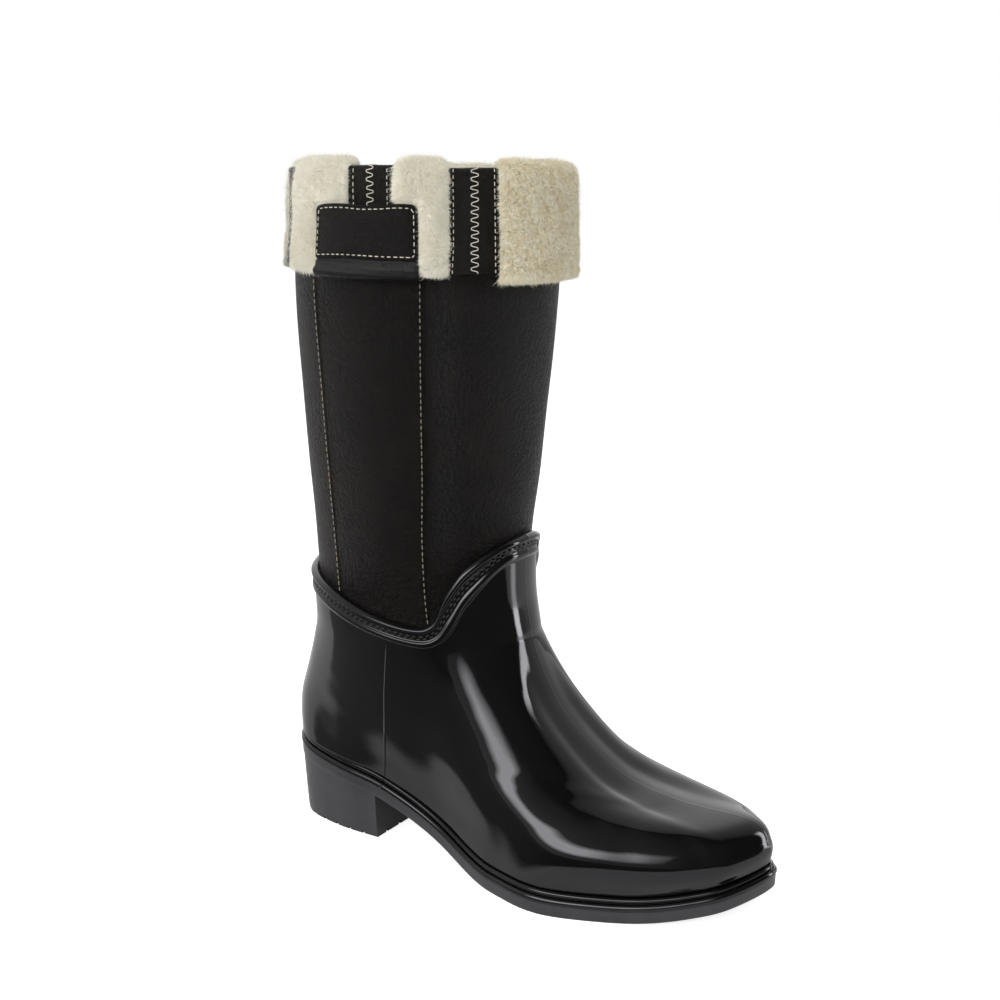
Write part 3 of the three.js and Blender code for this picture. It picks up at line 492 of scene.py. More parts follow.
def fleece_material(name, hollow, middle, tip):
    """Soft pile: each fibre has its own tone, and some light goes through."""
    mat, tree, bsdf, vec = new_material(name)
    fibre_share, light_through = 0.36, 0.42
    fibre = tree.add("NewGeometry").outputs["Random Per Island"]
    clump = tree.math("MULTIPLY", tree.noise(vec, 260, 3, 0.6, 0.8), 1 - fibre_share)
    tone = tree.math("MULTIPLY_ADD", fibre, fibre_share, clump)
    colour = tree.ramp(tone, (0.3, hollow), (0.5, middle), (0.68, tip))
    tree.put(bsdf, {
        "Base Color": colour,
        "Roughness": 0.8,
        "Specular IOR Level": 0.15,
        "Sheen Weight": 0.2,
        "Sheen Roughness": 0.4,
    })
    glow = tree.add("BsdfTranslucent", {"Color": colour}).outputs[0]
    tree.put(tree.nodes["Material Output"], {"Surface": tree.mix(light_through, bsdf.outputs[0], glow)})
    return mat


def plain_material(name, scale, detail, grain, stops, rough, depth=None, metal=0.0):
    """One noise gives the colour, a fine relief and, when rough is a pair of stops, the gloss as well."""
    mat, tree, bsdf, vec = new_material(name)
    fine = tree.noise(vec, scale, detail, grain)
    values = {"Base Color": tree.ramp(fine, *stops), "Metallic": metal}
    values["Roughness"] = tree.ramp(fine, *rough) if isinstance(rough, tuple) else rough
    if depth:
        values["Normal"] = tree.bumps((fine, depth, 1.0))
    tree.put(bsdf, values)
    return mat


def thread_material(name, colour, rough=0.6):
    shade = tuple(v * 0.72 for v in colour)
    return plain_material(name, 3200, 2, 0.6, ((0.35, shade), (0.65, colour)), rough, depth=0.00008)


PVC = pvc_material()
RUBBER = rubber_material()
SHAFT = leather_material("shaft_suede", dark=(0.0009, 0.0007, 0.0006), warm=(0.013, 0.0078, 0.005),
                         gloss=0.24, grain=0.0007)
TAPE = leather_material("tape_grain", dark=(0.0018, 0.0012, 0.001), warm=(0.008, 0.005, 0.0037),
                        gloss=0.26, grain=0.00055)
STRAP = leather_material("strap_smooth", dark=(0.0022, 0.0018, 0.0016), warm=(0.005, 0.0039, 0.0034),
                         gloss=0.3, grain=0.00012)
FLEECE = fleece_material("fleece_pile", (0.84, 0.81, 0.69), (0.9, 0.88, 0.79), (0.96, 0.94, 0.88))
FLEECE_IN = fleece_material("fleece_inside", (0.66, 0.61, 0.48), (0.75, 0.71, 0.6), (0.82, 0.79, 0.7))
# The curly front panel's ground is darker and more golden than its pile: painted shade for the hollows
# between the curls, on the fleece's own golden tint.
CURLY_SHADED_GROUND = fleece_material("fleece_curly_ground_painted_shade", (0.56, 0.46, 0.28), (0.72, 0.64, 0.45),
                             (0.84, 0.77, 0.6))
CURLY = fleece_material("fleece_curly_pile", (0.78, 0.69, 0.48), (0.9, 0.86, 0.71), (0.96, 0.95, 0.87))
THREAD = thread_material("thread_cream", (0.72, 0.67, 0.56))
THREAD_SHAFT = thread_material("thread_beige", (0.34, 0.29, 0.21))
THREAD_DARK = thread_material("thread_black", (0.016, 0.015, 0.015), rough=0.42)
BOARD = plain_material("fibre_board", 600, 5, 0.7, ((0.3, (0.2, 0.15, 0.1)), (0.7, (0.34, 0.27, 0.19))),
                       rough=0.9, depth=0.0002)
STEEL = plain_material("stud_nickel", 1800, 4, 0.6, ((0.3, (0.44, 0.42, 0.38)), (0.7, (0.6, 0.58, 0.54))),
                       rough=((0.3, 0.22), (0.7, 0.36)), metal=1.0)


# Shapes that several pieces share
def strip(a, b):
    """Quads between two rows of point numbers."""
    return np.stack([a[:-1], a[1:], b[1:], b[:-1]], -1)


def shell(name, outer, inner, material, wrap=False):
    """Two grids of points joined along their edges. With wrap both go round, one in the other."""
    n, m = outer.shape[:2]
    e = n * m
    i = np.arange(n + wrap) % n * m
    faces = [grid_faces(n, m, wrap), grid_faces(n, m, wrap, e)[:, ::-1]]
    if not wrap:
        k, last = np.arange(m), e - m + np.arange(m)
        faces += [np.roll(strip(k, e + k), 1, 1), np.roll(strip(e + last, last), 1, 1)]
    faces += [strip(e + i, i), strip(i + m - 1, e + i + m - 1)]
    verts = np.concatenate([outer.reshape(-1, 3), inner.reshape(-1, 3)])
    return make_mesh(name, verts, np.concatenate(faces), material)


def outline_rings(turns, profile):
    """Rings round the sole's outline, each drawn in by an inset and lifted off the rim's height."""
    rings = []
    for inset, lift in profile:
        x, y = outline_point(turns, inset)
        rings.append(np.stack([x, y, rim_height(x) + lift], -1))
    return np.stack(rings, 1)


def outline_bead(name, turns, profile, node):
    """A closed bead round the sole."""
    p = outline_rings(turns, profile)
    n, m = p.shape[:2]
    i = np.arange(n + 1) % n * m
    faces = np.concatenate([grid_faces(n, m, True), strip(i + m - 1, i)])
    bead = make_mesh(name, p.reshape(-1, 3), faces, PVC)
    assign(bead, (node,))


def lumps(p, scale, seed, amount):
    """Smooth swellings in millimetres, built from a few sine waves, so they repeat exactly."""
    r = np.random.default_rng(seed)
    v = np.zeros(p.shape[:-1])
    waves = 9
    for _ in range(waves):
        d = r.normal(size=3)
        d *= (0.6 + 0.9 * r.random()) * 2 * math.pi / scale / np.linalg.norm(d)
        v += np.sin(p @ d + r.random() * 7)
    return amount * v / math.sqrt(waves)


def path_run(path):
    return np.concatenate([[0], np.cumsum(np.linalg.norm(np.diff(path, axis=0), axis=1))])


def path_pick(path, run, at):
    return np.stack([np.interp(at, run, path[:, axis]) for axis in range(path.shape[1])], -1)


def polyline(points, n):
    """n points evenly along a list of (offset, height) corners."""
    points = np.asarray(points, float)
    run = path_run(points)
    return path_pick(points, run, np.linspace(0, run[-1], n))


def rounded(points, radius, n=6):
    """Rounds the corners of an (offset, height) polyline."""
    points = [np.asarray(p, float) for p in points]
    out = [points[0]]
    for a, b, c in zip(points, points[1:], points[2:]):
        u, v = a - b, c - b
        lu, lv = np.linalg.norm(u), np.linalg.norm(v)
        r = min(radius, lu * 0.45, lv * 0.45)
        p, q = b + u / lu * r, b + v / lv * r
        for t in np.linspace(0, 1, n):
            out.append((1 - t) ** 2 * p + 2 * t * (1 - t) * b + t * t * q)
    return [*out, points[-1]]


def evenly(count):
    """Places from -1 to 1, denser towards both ends."""
    return np.sin(np.linspace(-1, 1, count) * math.pi / 2)


# The moulded foot
def edge_rows(row, steps):
    """Single rows off the smooth surface, each with its offset and its lift."""
    rows = []
    for offset, lift in steps:
        q, _ = skin(row, np.array([offset]))
        q[..., 2] += lift
        rows.append(q)
    return rows


def galosh():
    """The glossy shell: a foot of even thickness with two rolls and a channel between them as its band."""
    foot_rows = 112
    low = row_at(band_low(ANGLES))[:, None]
    high = row_at(topline(ANGLES))[:, None]
    row_shares = np.concatenate([
        [0, 0.012, 0.03, 0.05, 0.075, 0.105, 0.15, 0.2, 0.25, 0.285, 0.31, 0.335, 0.36, 0.4],
        np.linspace(0.45, 0.66, 5), [0.7, 0.725, 0.75, 0.78, 0.815, 0.85, 0.89, 0.93, 0.965, 0.985, 1.0]])
    roll_shares = [0, .02, .05, .10, .2, .28, .32, .36, .40, .68, .72, .76, .82, .88, .94, .98, 1.0]
    roll = [0, .35, .85, 1.15, 1.2, 1.1, .75, .45, .38, .38, .55, 1.05, 1.4, 1.45, 1.2, .75, .3]
    foot = low * np.linspace(0, 1, foot_rows)[None, :-1]
    rows = np.concatenate([foot, low + (high - low) * row_shares[None, :]], 1)
    band = WALL + np.interp(row_shares, roll_shares, roll)
    pts, _ = skin(rows, np.concatenate([np.full(foot_rows - 1, WALL), band]))
    first_lift = 0.35
    pts[:, 0, 2] += first_lift
    # the lower edge turned in under a small radius, and the upper edge turned in to the shaft
    lower = edge_rows(np.zeros((COLS, 1)), [(0.2, 0.0), (WALL - 0.75, 0.0), (WALL - 0.25, 0.08)])
    upper = edge_rows(high, [(WALL - 0.2, 0.45), (1.2, 0.6), (0.0, 0.45), (-0.25, -0.6), (-0.3, -3.0)])
    p = np.concatenate([*lower, pts, *upper], 1)
    obj = make_mesh("galosh_shell", p.reshape(-1, 3), grid_faces(*p.shape[:2], True), PVC)
    assign(obj, ("galosh",))


galosh()


# Thread
def tube_path(points, normals, radius, sides=6):
    """A little tube along points (k, 3)."""
    t = np.gradient(points, axis=0)
    t /= np.linalg.norm(t, axis=1, keepdims=True) + 1e-12
    side = np.cross(t, normals)
    side /= np.linalg.norm(side, axis=1, keepdims=True) + 1e-12
    up = np.cross(side, t)
    a = np.linspace(0, 2 * math.pi, sides, endpoint=False)[None, :, None]
    ring = np.cos(a) * side[:, None] + np.sin(a) * up[:, None]
    return (points[:, None] + np.asarray(radius)[:, None, None] * ring).reshape(-1, 3)


class Stitching:
    """Gathers single stitches, each a short tube that dips into the material at both ends."""

    def __init__(self, sides=6, rings=7):
        self.sides, self.rings, self.verts = sides, rings, []

    def add(self, a, b, na, nb, radius, rise, sink):
        s = np.linspace(0, 1, self.rings)[:, None]
        n = unit(na * (1 - s) + nb * s)
        arch = np.clip(1 - np.abs(2 * s - 1) ** 5, 0, 1)
        p = a * (1 - s) + b * s + n * ((rise + sink) * arch - sink)
        r = radius * (0.55 + 0.45 * np.clip(1 - np.abs(2 * s[:, 0] - 1) ** 8, 0, 1))
        self.verts.append(tube_path(p, n, r, self.sides))

    def along(self, path, normals, pitch, length, radius, rise, sink, start=0.0):
        run = path_run(path)
        at = start
        while at + length < run[-1]:
            wobble = STITCH_DRAWS.normal(0, STITCH_JITTER_SHARE * pitch, 2)
            ends = np.clip([at + wobble[0], at + length + wobble[1]], 0, run[-1])
            self.add(*path_pick(path, run, ends), *path_pick(normals, run, ends), radius, rise, sink)
            at += pitch

    def build(self, name, material, body="boot"):
        m, k = self.sides, self.rings
        i = np.arange(k - 1)[:, None]
        j = np.arange(m)[None, :]
        quads = [i * m + j, i * m + (j + 1) % m, (i + 1) * m + (j + 1) % m, (i + 1) * m + j]
        start = (np.arange(len(self.verts)) * m * k)[:, None, None]
        quads = (np.stack(quads, -1).reshape(-1, 4)[None] + start).reshape(-1, 4)
        cap = np.arange(m)[None, None]
        caps = [(cap[..., ::-1] + start).reshape(-1, m), (cap + (k - 1) * m + start).reshape(-1, m)]
        assign(make_mesh(name, np.concatenate(self.verts), [quads, *caps], material), body=body)


def band_stitches():
    """Two rows of moulded stitches in the band's channel."""
    st = Stitching(5, 5)
    low = row_at(band_low(ANGLES))
    high = row_at(topline(ANGLES))
    for share, start in ((0.47, 0.0), (0.6, 1.6)):
        rings = skin((low + (high - low) * share)[:, None], np.array([WALL + 0.38]))
        path, normals = [np.concatenate([g[:, 0], g[:1, 0]]) for g in rings]
        st.along(path, normals, pitch=3.3, length=2.5, radius=0.42, rise=0.2, sink=0.35, start=start)
    st.build("galosh_band_thread", THREAD_DARK)


band_stitches()


# The welt, in the groove between the rim and the moulded foot
def welt():
    led = ledge(TURNS)
    outline_bead("welt_bead", TURNS, [
        (led + WALL, 0.3), (np.maximum(led - 0.9, 1.7), 0.3), (np.maximum(led - 1.3, 1.6), 0.7),
        (np.maximum(led - 1.4, 1.55), 1.2), (np.maximum(led - 1.3, 1.6), 1.75),
        (np.maximum(led - 0.8, 1.8), 2.3), (led + 0.3, 2.65), (led + WALL, 2.7)], "welt")


welt()


# The sole
SOLE_COLS, HEEL_COLS = 360, 150
TREAD_PITCH, TREAD_HALF, TREAD_DEPTH, TREAD_INSET, TREAD_NEAR = 9, 1.2, 1.6, 8.0, 4
HEEL_CUT_HALF, HEEL_CUT_DEPTH, HEEL_CUT_REACH = 0.8, 1.5, 60
HEEL_CUTS_ALONG, HEEL_CUTS_ACROSS = (57, 48, 39, 30, 21, 12), (-20, -9, 2, 13, 24)
TURN_HALVINGS = 30
HEEL_TOP_DROP = 3.6
SOLE_SHARP, STRAP_SHARP = 38, 40


def apply_boolean(obj, cutter, sharp):
    """Cuts an object and shades it smooth, with edges from an angle in degrees kept sharp."""
    mod = obj.modifiers.new("cut", "BOOLEAN")
    mod.operation = "DIFFERENCE"
    mod.solver = "EXACT"
    mod.object = cutter
    mesh = bpy.data.meshes.new_from_object(obj.evaluated_get(bpy.context.evaluated_depsgraph_get()))
    obj.modifiers.clear()
    old, obj.data = obj.data, mesh
    bpy.data.meshes.remove(old)
    bpy.data.objects.remove(cutter)
    mesh.polygons.foreach_set("use_smooth", np.full(len(mesh.polygons), True))
    mesh.set_sharp_from_angle(angle=math.radians(sharp))


def joined_boxes(boxes):
    faces = np.array([[0, 1, 3, 2], [4, 6, 7, 5], [0, 4, 5, 1], [2, 3, 7, 6], [0, 2, 6, 4], [1, 5, 7, 3]])
    verts = [[x, y, z] for lo, hi in boxes for x in (lo[0], hi[0]) for y in (lo[1], hi[1])
             for z in (lo[2], hi[2])]
    faces = np.concatenate([faces + 8 * k for k in range(len(boxes))])
    return make_mesh("cut", verts, faces, RUBBER, False)


def sole_slab():
    """The sole proper, with its side below the rim roll and cuts across the tread."""
    n = SOLE_COLS
    turns = np.arange(n) / n
    profile = [(0.95, -9.1), (0.72, -9.0), (0.6, -8.6), (0.55, -6.2), (0.45, -3.9), (0.4, -3.55),
               (0.48, -3.35), (0.7, -3.25), (2.3, -3.2), (2.6, -0.1), (4.5, 0.0)]
    m = len(profile)
    i = np.arange(n // 2 + 1)
    i, j, top = i * m, (n - i) % n * m, m - 1
    low, high = strip(j, i), np.roll(strip(i + top, j + top), 1, 1)
    ends = [[j[1], i[1], i[0]], [i[0] + top, i[1] + top, j[1] + top],
            [j[-2], i[-1], i[-2]], [j[-2] + top, i[-2] + top, i[-1] + top]]
    faces = [np.concatenate([grid_faces(n, m, True), low[1:-1], high[1:-1]]), np.array(ends)]
    slab = make_mesh("outsole_slab", outline_rings(turns, profile).reshape(-1, 3), faces, RUBBER)
    roll = [(2.2, -3.1), (0.3, -3.1), (0.06, -2.95), (0.0, -2.7), (0.0, -2.2), (0.1, -1.6), (0.36, -0.95),
            (0.8, -0.45), (1.3, -0.2), (2.2, -0.1)]
    outline_bead("outsole_rim_roll", turns, roll, "outsole")
    edge_x, edge_y = outline_point(turns, TREAD_INSET)
    cuts = []
    for x in np.arange(BALL_START - 10, SOLE_LENGTH - 22 + 0.1, TREAD_PITCH):
        across = edge_y[np.abs(edge_x - x) < TREAD_NEAR]
        z = float(rim_height(x)) - SOLE_THICK
        cuts.append(((x - TREAD_HALF, across.min(), -2), (x + TREAD_HALF, across.max(), z + TREAD_DEPTH)))
    apply_boolean(slab, joined_boxes(cuts), SOLE_SHARP)
    assign(slab, ("outsole",))


def turn_at(x, inset, ahead, behind):
    """The turn between two others at which the drawn-in outline passes a place along the sole."""
    for _ in range(TURN_HALVINGS):
        middle = (ahead + behind) / 2
        if outline_point(np.array([middle]), inset)[0][0] > x:
            ahead = middle
        else:
            behind = middle
    return (ahead + behind) / 2


def heel_block():
    """Rings from the ground up, each with its inset, its lift, its breast and its share of the height."""
    levels = [(3.6, 0.0, 66.0, 0.0), (3.1, 0.5, 66.0, 0.0), (2.5, 8.0, 66.15, 0.0), (1.8, 0.0, 66.4, 0.5),
              (1.15, 0.0, 66.6, 0.78), (0.56, 0.0, 66.8, 1.0)]
    k = HEEL_COLS
    rings = []
    for inset, lift, breast, share in levels:
        turns = np.linspace(turn_at(breast, inset, 0.25, 0.5), turn_at(breast, inset, 0.75, 0.5), k)
        x, y = outline_point(turns, inset)
        rings.append(np.stack([x, y, lift + share * (rim_height(x) - HEEL_TOP_DROP)], -1))
    m = len(levels)
    up, i = np.arange(m), np.arange(k // 2)
    front, flat = strip(up, (k - 1) * m + up), strip(i * m, (k - 1 - i) * m)
    faces = np.concatenate([grid_faces(k, m, False), front, flat[:, ::-1], flat + m - 1])
    block = make_mesh("outsole_heel", np.stack(rings, 1).reshape(-1, 3), faces, RUBBER)
    half, deep, reach = HEEL_CUT_HALF, HEEL_CUT_DEPTH, HEEL_CUT_REACH
    cuts = [((x - half, -reach, -1), (x + half, reach, deep)) for x in HEEL_CUTS_ALONG]
    apply_boolean(block, joined_boxes(cuts), SOLE_SHARP)
    cuts = [((-2, y - half, -1), (reach + 10, y + half, deep)) for y in HEEL_CUTS_ACROSS]
    apply_boolean(block, joined_boxes(cuts), SOLE_SHARP)
    assign(block, ("outsole",))


sole_slab()
heel_block()

# The shaft
PANEL_TOP, PANEL_TUCK, SEAM_GAP, SEAM_THREAD_OFF, ARC = 332.0, 6.0, 0.04, 1.3, 60.0


def panel(name, start, end):
    cols = int((end - start) / math.radians(1.25))
    gap = SEAM_GAP / ARC
    s = np.linspace(0, 1, cols)
    # denser columns by the seams
    s = s - 0.35 * np.sin(2 * math.pi * s) / (2 * math.pi) * 0.6
    a = start + gap + (end - start - 2 * gap) * s
    low = topline(a) - PANEL_TUCK
    v = np.linspace(0, 1, 130)
    z = low[:, None] + (PANEL_TOP - low[:, None]) * v[None, :]
    angle = np.broadcast_to(a[:, None], z.shape)
    off_seam = np.minimum(np.abs(angle - start), np.abs(end - angle)) * ARC
    groove = 0.22 * np.exp(-(off_seam / 0.5) ** 2)
    swell = lumps(leg_point(angle, z, 0.0), 38.0, 3, 0.16) * ease(v, 0.0, 0.15)[None, :]
    outer = leg_point(angle, z, swell - PANEL_FACE - groove)
    inner = leg_point(angle, z, -PANEL_FACE - PANEL_WALL)
    obj = shell("shaft_" + name, outer, inner, SHAFT)
    assign(obj, (f"shaft_{name}_panel",))


panel("front", -FRONT_SEAM, FRONT_SEAM)
panel("back", REAR_SEAM, 2 * math.pi - REAR_SEAM)
panel("inner_side", FRONT_SEAM, REAR_SEAM)
panel("outer_side", 2 * math.pi - REAR_SEAM, 2 * math.pi - FRONT_SEAM)


def shaft_stitches():
    st = Stitching()
    for seam, away in ((FRONT_SEAM, 1), (REAR_SEAM, 1), (-FRONT_SEAM, -1), (-REAR_SEAM, -1)):
        angle = seam + away * SEAM_THREAD_OFF / ARC
        z = np.linspace(float(topline(np.array(angle))) + 0.8, CUFF_LOW + 3, 160)
        a = np.full_like(z, angle)
        path = leg_point(a, z, -PANEL_FACE + 0.06)
        st.along(path, leg_normal(a, z), pitch=3.1, length=2.1, radius=0.2, rise=0.14, sink=0.3)
    st.build("shaft_seam_thread", THREAD_SHAFT)


shaft_stitches()


# Linings and footbed
def shaft_lining():
    a = np.linspace(0, 2 * math.pi, 220, endpoint=False)[:, None]
    z = np.linspace(112.8, CUFF_INNER - 0.3, 110)[None, :]
    a, z = np.broadcast_arrays(a, z)
    p = leg_point(a, z, -LINING_BACK)
    pile = 0.5 - np.abs(lumps(p, 9.0, 11, 0.9)) - np.abs(lumps(p, 4.2, 12, 0.5))
    outer, inner = leg_point(a, z, -LINING_FACE), leg_point(a, z, -LINING_BACK + pile)
    assign(shell("shaft_lining_fleece", outer, inner, FLEECE_IN, wrap=True), ("shaft_lining",))


shaft_lining()


def foot_lining():
    count, face, back = 70, -0.95, -3.2
    rows = np.linspace(0.02, float(row_at(ANKLE - 0.3)), count)[None, :]
    outer, _ = skin(rows, np.full(count, face))
    raw, _ = skin(rows, np.full(count, back))
    inner, _ = skin(rows, back + 0.1 - np.abs(lumps(raw, 9.0, 13, 0.8)))
    obj = shell("foot_lining_fleece", outer[::2], inner[::2], FLEECE_IN, wrap=True)
    assign(obj, ("foot_lining",))


foot_lining()


def footbed():
    n, rows, edge_drop, thick = 200, 36, 1.3, 4.0
    turns = np.arange(n) / n
    lining_face, lining_wall, play, board = 0.95, 2.8, 1.2, 2.1
    x, y = outline_point(turns, ledge(turns) + WALL + lining_face + lining_wall + play)
    half = np.arange(n // 2 + 1)
    across = np.linspace(0, 1, rows)
    left = np.stack([x[half], y[half]], -1)
    right = np.stack([x[(n - half) % n], y[(n - half) % n]], -1)
    g = right[:, None] * (1 - across[None, :, None]) + left[:, None] * across[None, :, None]
    base = rim_height(g[..., 0]) + lining_face + board
    edge = np.minimum(across, 1 - across)[None, :] * np.linalg.norm(left - right, axis=1)[:, None]
    top = np.concatenate([g, (base + (thick - edge_drop * np.exp(-edge / 1.6)))[..., None]], -1)
    top[..., 2] += np.abs(lumps(top, 8.0, 21, 0.6)) - 0.35
    bottom = np.concatenate([g, base[..., None]], -1)
    a, b = top.shape[:2]
    e = a * b
    i = np.arange(a) * b
    sides = [strip(i, e + i), strip(i + b - 1, e + i + b - 1)[:, [1, 0, 3, 2]]]
    verts = np.concatenate([top.reshape(-1, 3), bottom.reshape(-1, 3)])
    faces = np.concatenate([grid_faces(a, b, False)[:, ::-1], grid_faces(a, b, False, e), *sides])
    assign(make_mesh("footbed_fleece", verts, faces, FLEECE_IN), ("footbed",))


footbed()

# The cuff: where each of its layers begins, its backing and its tapes
STRAP_SET_BACK, STRAP_HALF = 1.4, 26.8
STRAP_ROOM, STRAP_ROOM_MORE, STRAP_ROOM_FADE = 1.5, 3.0, math.radians(14)
BACKING_WALL, LAYER_GAP = 0.8, 0.3
BACKING_FRONT, BACKING_REAR_MORE = 0.4, 1.2
PILE_REAR, PILE_FRONT_MORE, FRONT_HANG = 3.4, 3.6, 3.5
PANEL_BACK = -1.9
TAPE_BACK = PANEL_BACK - LAYER_GAP
BACK_TOP = SHAFT_TOP + LAYER_GAP + BACKING_WALL
SEAT_TOP = BACK_TOP + LAYER_GAP


def arc_angle(angle, length):
    _, hd, hw = leg_section(CUFF_LOW)
    return length / np.hypot(hd * np.sin(angle), hw * np.cos(angle))


STRAP_TAPE = TAPES[TAPE_NAMES.index("outer_side")]
STRAP_ANGLE = STRAP_TAPE - float(arc_angle(STRAP_TAPE, STRAP_SET_BACK))


def strap_room(angle):
    half = float(arc_angle(STRAP_ANGLE, STRAP_HALF + STRAP_ROOM_MORE))
    return STRAP_ROOM * (1 - ease(folded(angle - STRAP_ANGLE), half, half + STRAP_ROOM_FADE))


def backing_out(angle):
    return BACKING_FRONT + BACKING_REAR_MORE * (1 - np.cos(angle)) / 2 + strap_room(angle)


def fleece_seat(angle):
    return backing_out(angle) + BACKING_WALL + LAYER_GAP


def fleece_out(angle):
    return fleece_seat(angle) + PILE_REAR + PILE_FRONT_MORE * (1 + np.cos(angle)) / 2


def fleece_low(angle):
    return CUFF_LOW - FRONT_HANG * ease(np.cos(angle), 0.55, 0.95)


def hung(angle, line, count):
    """An (offset, height) line at an angle round the leg, as evenly spaced points."""
    p = polyline(line, count)
    return leg_point(angle, p[:, 1], p[:, 0])


def backing():
    a = np.linspace(0, 2 * math.pi, 180, endpoint=False)
    face = backing_out(a)
    levels = (CUFF_LOW + LAYER_GAP, 300, 312, 324)
    outer = [leg_point(a, z, face + BACKING_WALL) for z in (*levels, BACK_TOP)]
    inner = [leg_point(a, z, face) for z in (*levels, SHAFT_TOP + LAYER_GAP)]
    outer.append(leg_point(a, BACK_TOP, PANEL_BACK))
    inner.append(leg_point(a, SHAFT_TOP + LAYER_GAP, PANEL_BACK))
    obj = shell("cuff_backing_skin", np.stack(outer, 1), np.stack(inner, 1), SHAFT, wrap=True)
    assign(obj, ("cuff_backing",))


backing()

TAPE_COLS, TAPE_ROWS, TAPE_SPREAD, TAPE_SEEN_SHARE = 28, 90, 0.75, 0.74
ZIGZAG_STEP, ZIGZAG_PERIOD, ZIGZAG_SWING = 0.19, 3.5, 1.62


def tape(name, centre):
    """A tape over a seam of the cuff, with two rows of stitches and a zigzag between them."""
    under_strap = name == "outer_side"
    s = np.linspace(-1, 1, TAPE_COLS)
    s = np.sign(s) * np.abs(s) ** TAPE_SPREAD
    a = centre + float(arc_angle(centre, TAPE_WIDTH / 2)) * s
    outer, inner = [], []
    for angle, across, seat in zip(a, s, fleece_seat(a)):
        edge = max(0.0, (abs(across) - 0.9) / 0.1)
        thick = TAPE_THICK - 0.5 * edge * edge
        face, back = seat + thick, TAPE_BACK - thick
        top = SEAT_TOP + thick + (1.2 if under_strap else 0.0)
        line = [(face, CUFF_LOW - 0.2), (face, top), (back, top), (back, CUFF_INNER)]
        outer.append(hung(angle, rounded(line, 1.5), TAPE_ROWS))
        line = [(seat, CUFF_LOW), (seat, SEAT_TOP), (TAPE_BACK, SEAT_TOP), (TAPE_BACK, CUFF_INNER)]
        inner.append(hung(angle, rounded(line, 0.8), TAPE_ROWS))
    outer, inner = np.stack(outer), np.stack(inner)
    outer = outer + grid_normals(outer, False) * lumps(outer, 17.0, 31, 0.12)[..., None]
    obj = shell("tape_" + name, outer, inner, TAPE)
    assign(obj, ("cuff_tape_" + name,))
    normals = grid_normals(outer, False)

    def line_at(y):
        share = np.sign(y) * (abs(y) / (TAPE_WIDTH / 2)) ** (1 / TAPE_SPREAD)
        col = (share + 1) / 2 * (TAPE_COLS - 1)
        k = int(np.clip(np.floor(col), 0, TAPE_COLS - 2))
        t = col - k
        return outer[k] * (1 - t) + outer[k + 1] * t, unit(normals[k] * (1 - t) + normals[k + 1] * t)

    seen = int(TAPE_ROWS * TAPE_SEEN_SHARE)
    st = Stitching()
    reach = 8.1 if under_strap else 9.2
    for y in (-reach, reach):
        p, q = line_at(y)
        bow = lumps(p, 30.0, 71 + int(y), 0.22)
        p = p + unit(line_at(y + 0.5)[0] - p) * bow[:, None]
        st.along(p[:seen], q[:seen], pitch=2.9, length=1.9, radius=0.19, rise=0.14, sink=0.3, start=0.5)
    st.build("tape_thread_" + name, THREAD)
    # the zigzag is one thread that swings from side to side and dips at every turn
    middle, up = line_at(0.0)
    beside = unit(line_at(1.0)[0] - middle)
    run = path_run(middle[:seen])
    at = np.arange(0.5, run[-1] - 0.4, ZIGZAG_STEP)
    phase = at / ZIGZAG_PERIOD * 2 * math.pi + 0.25 * np.sin(at * 0.7 + centre * 9)
    swing = np.sin(phase + 0.28 * np.sin(2 * phase)) * (1 + 0.08 * np.sin(at * 1.3 + centre * 5))
    middle, beside, up = [path_pick(g[:seen], run, at) for g in (middle, beside, up)]
    up = unit(up)
    lift = 0.16 - 0.26 * np.abs(np.sin(phase)) ** 6
    line = middle + beside * (ZIGZAG_SWING * swing)[:, None] + up * lift[:, None]
    zigzag = Stitching(6, len(at))
    zigzag.verts.append(tube_path(line, up, np.full(len(at), 0.18)))
    zigzag.build("tape_zigzag_" + name, THREAD)


for tape_name, tape_angle in zip(TAPE_NAMES, TAPES):
    tape(tape_name, tape_angle)

# The strap. Its own frame runs across it, outward from the leg, and up
CREASE, STRAP_TOP, LEATHER, SAG = 296.5, 322.0, 1.2, 4.0
STAND = float(fleece_seat(STRAP_ANGLE)) + TAPE_THICK + 0.3 + 2.0
MIDDLE = leg_point(STRAP_ANGLE, CREASE)
_, crease_depth, crease_width = leg_section(CREASE)
ACROSS = unit(np.array([-crease_depth * math.sin(STRAP_ANGLE), crease_width * math.cos(STRAP_ANGLE), 0.0]))
OUTWARD = np.array([ACROSS[1], -ACROSS[0], 0.0])
UPWARD = np.array([0.0, 0.0, 1.0])
STRAP_COLS = evenly(61)
PATCH_HALF, PATCH_CORNER, PATCH_LOW_CORNER = STRAP_HALF - 0.6, 3.4, 1.4
LEAF_HALF, LEAF_LOW, LEAF_TOP = PATCH_HALF - 0.4, 296.65, 320.6


def strap_point(across, outward, z):
    across, outward, z = np.broadcast_arrays(*(np.asarray(v, float) for v in (across, outward, z)))
    level = across[..., None] * ACROSS + outward[..., None] * OUTWARD
    return MIDDLE * [1, 1, 0] + level + z[..., None] * UPWARD


def leg_outward(across, z):
    """How far outward the leg's surface lies at a place across the strap."""
    axis, hd, hw = leg_section(z)
    x = (MIDDLE[0] - axis + across * ACROSS[0]) / hd
    y = (MIDDLE[1] + across * ACROSS[1]) / hw
    ox, oy = OUTWARD[0] / hd, OUTWARD[1] / hw
    square, half = ox * ox + oy * oy, ox * x + oy * y
    return float((np.sqrt(half * half - square * (x * x + y * y - 1)) - half) / square)


def strap_place(s):
    return STAND - SAG * s * s


def quarter(x, half, radius):
    """How much a rounded corner takes off the height at a place x across."""
    inset = np.maximum(0, np.abs(x) - (half - radius))
    return radius - np.sqrt(np.maximum(radius ** 2 - inset ** 2, 0))


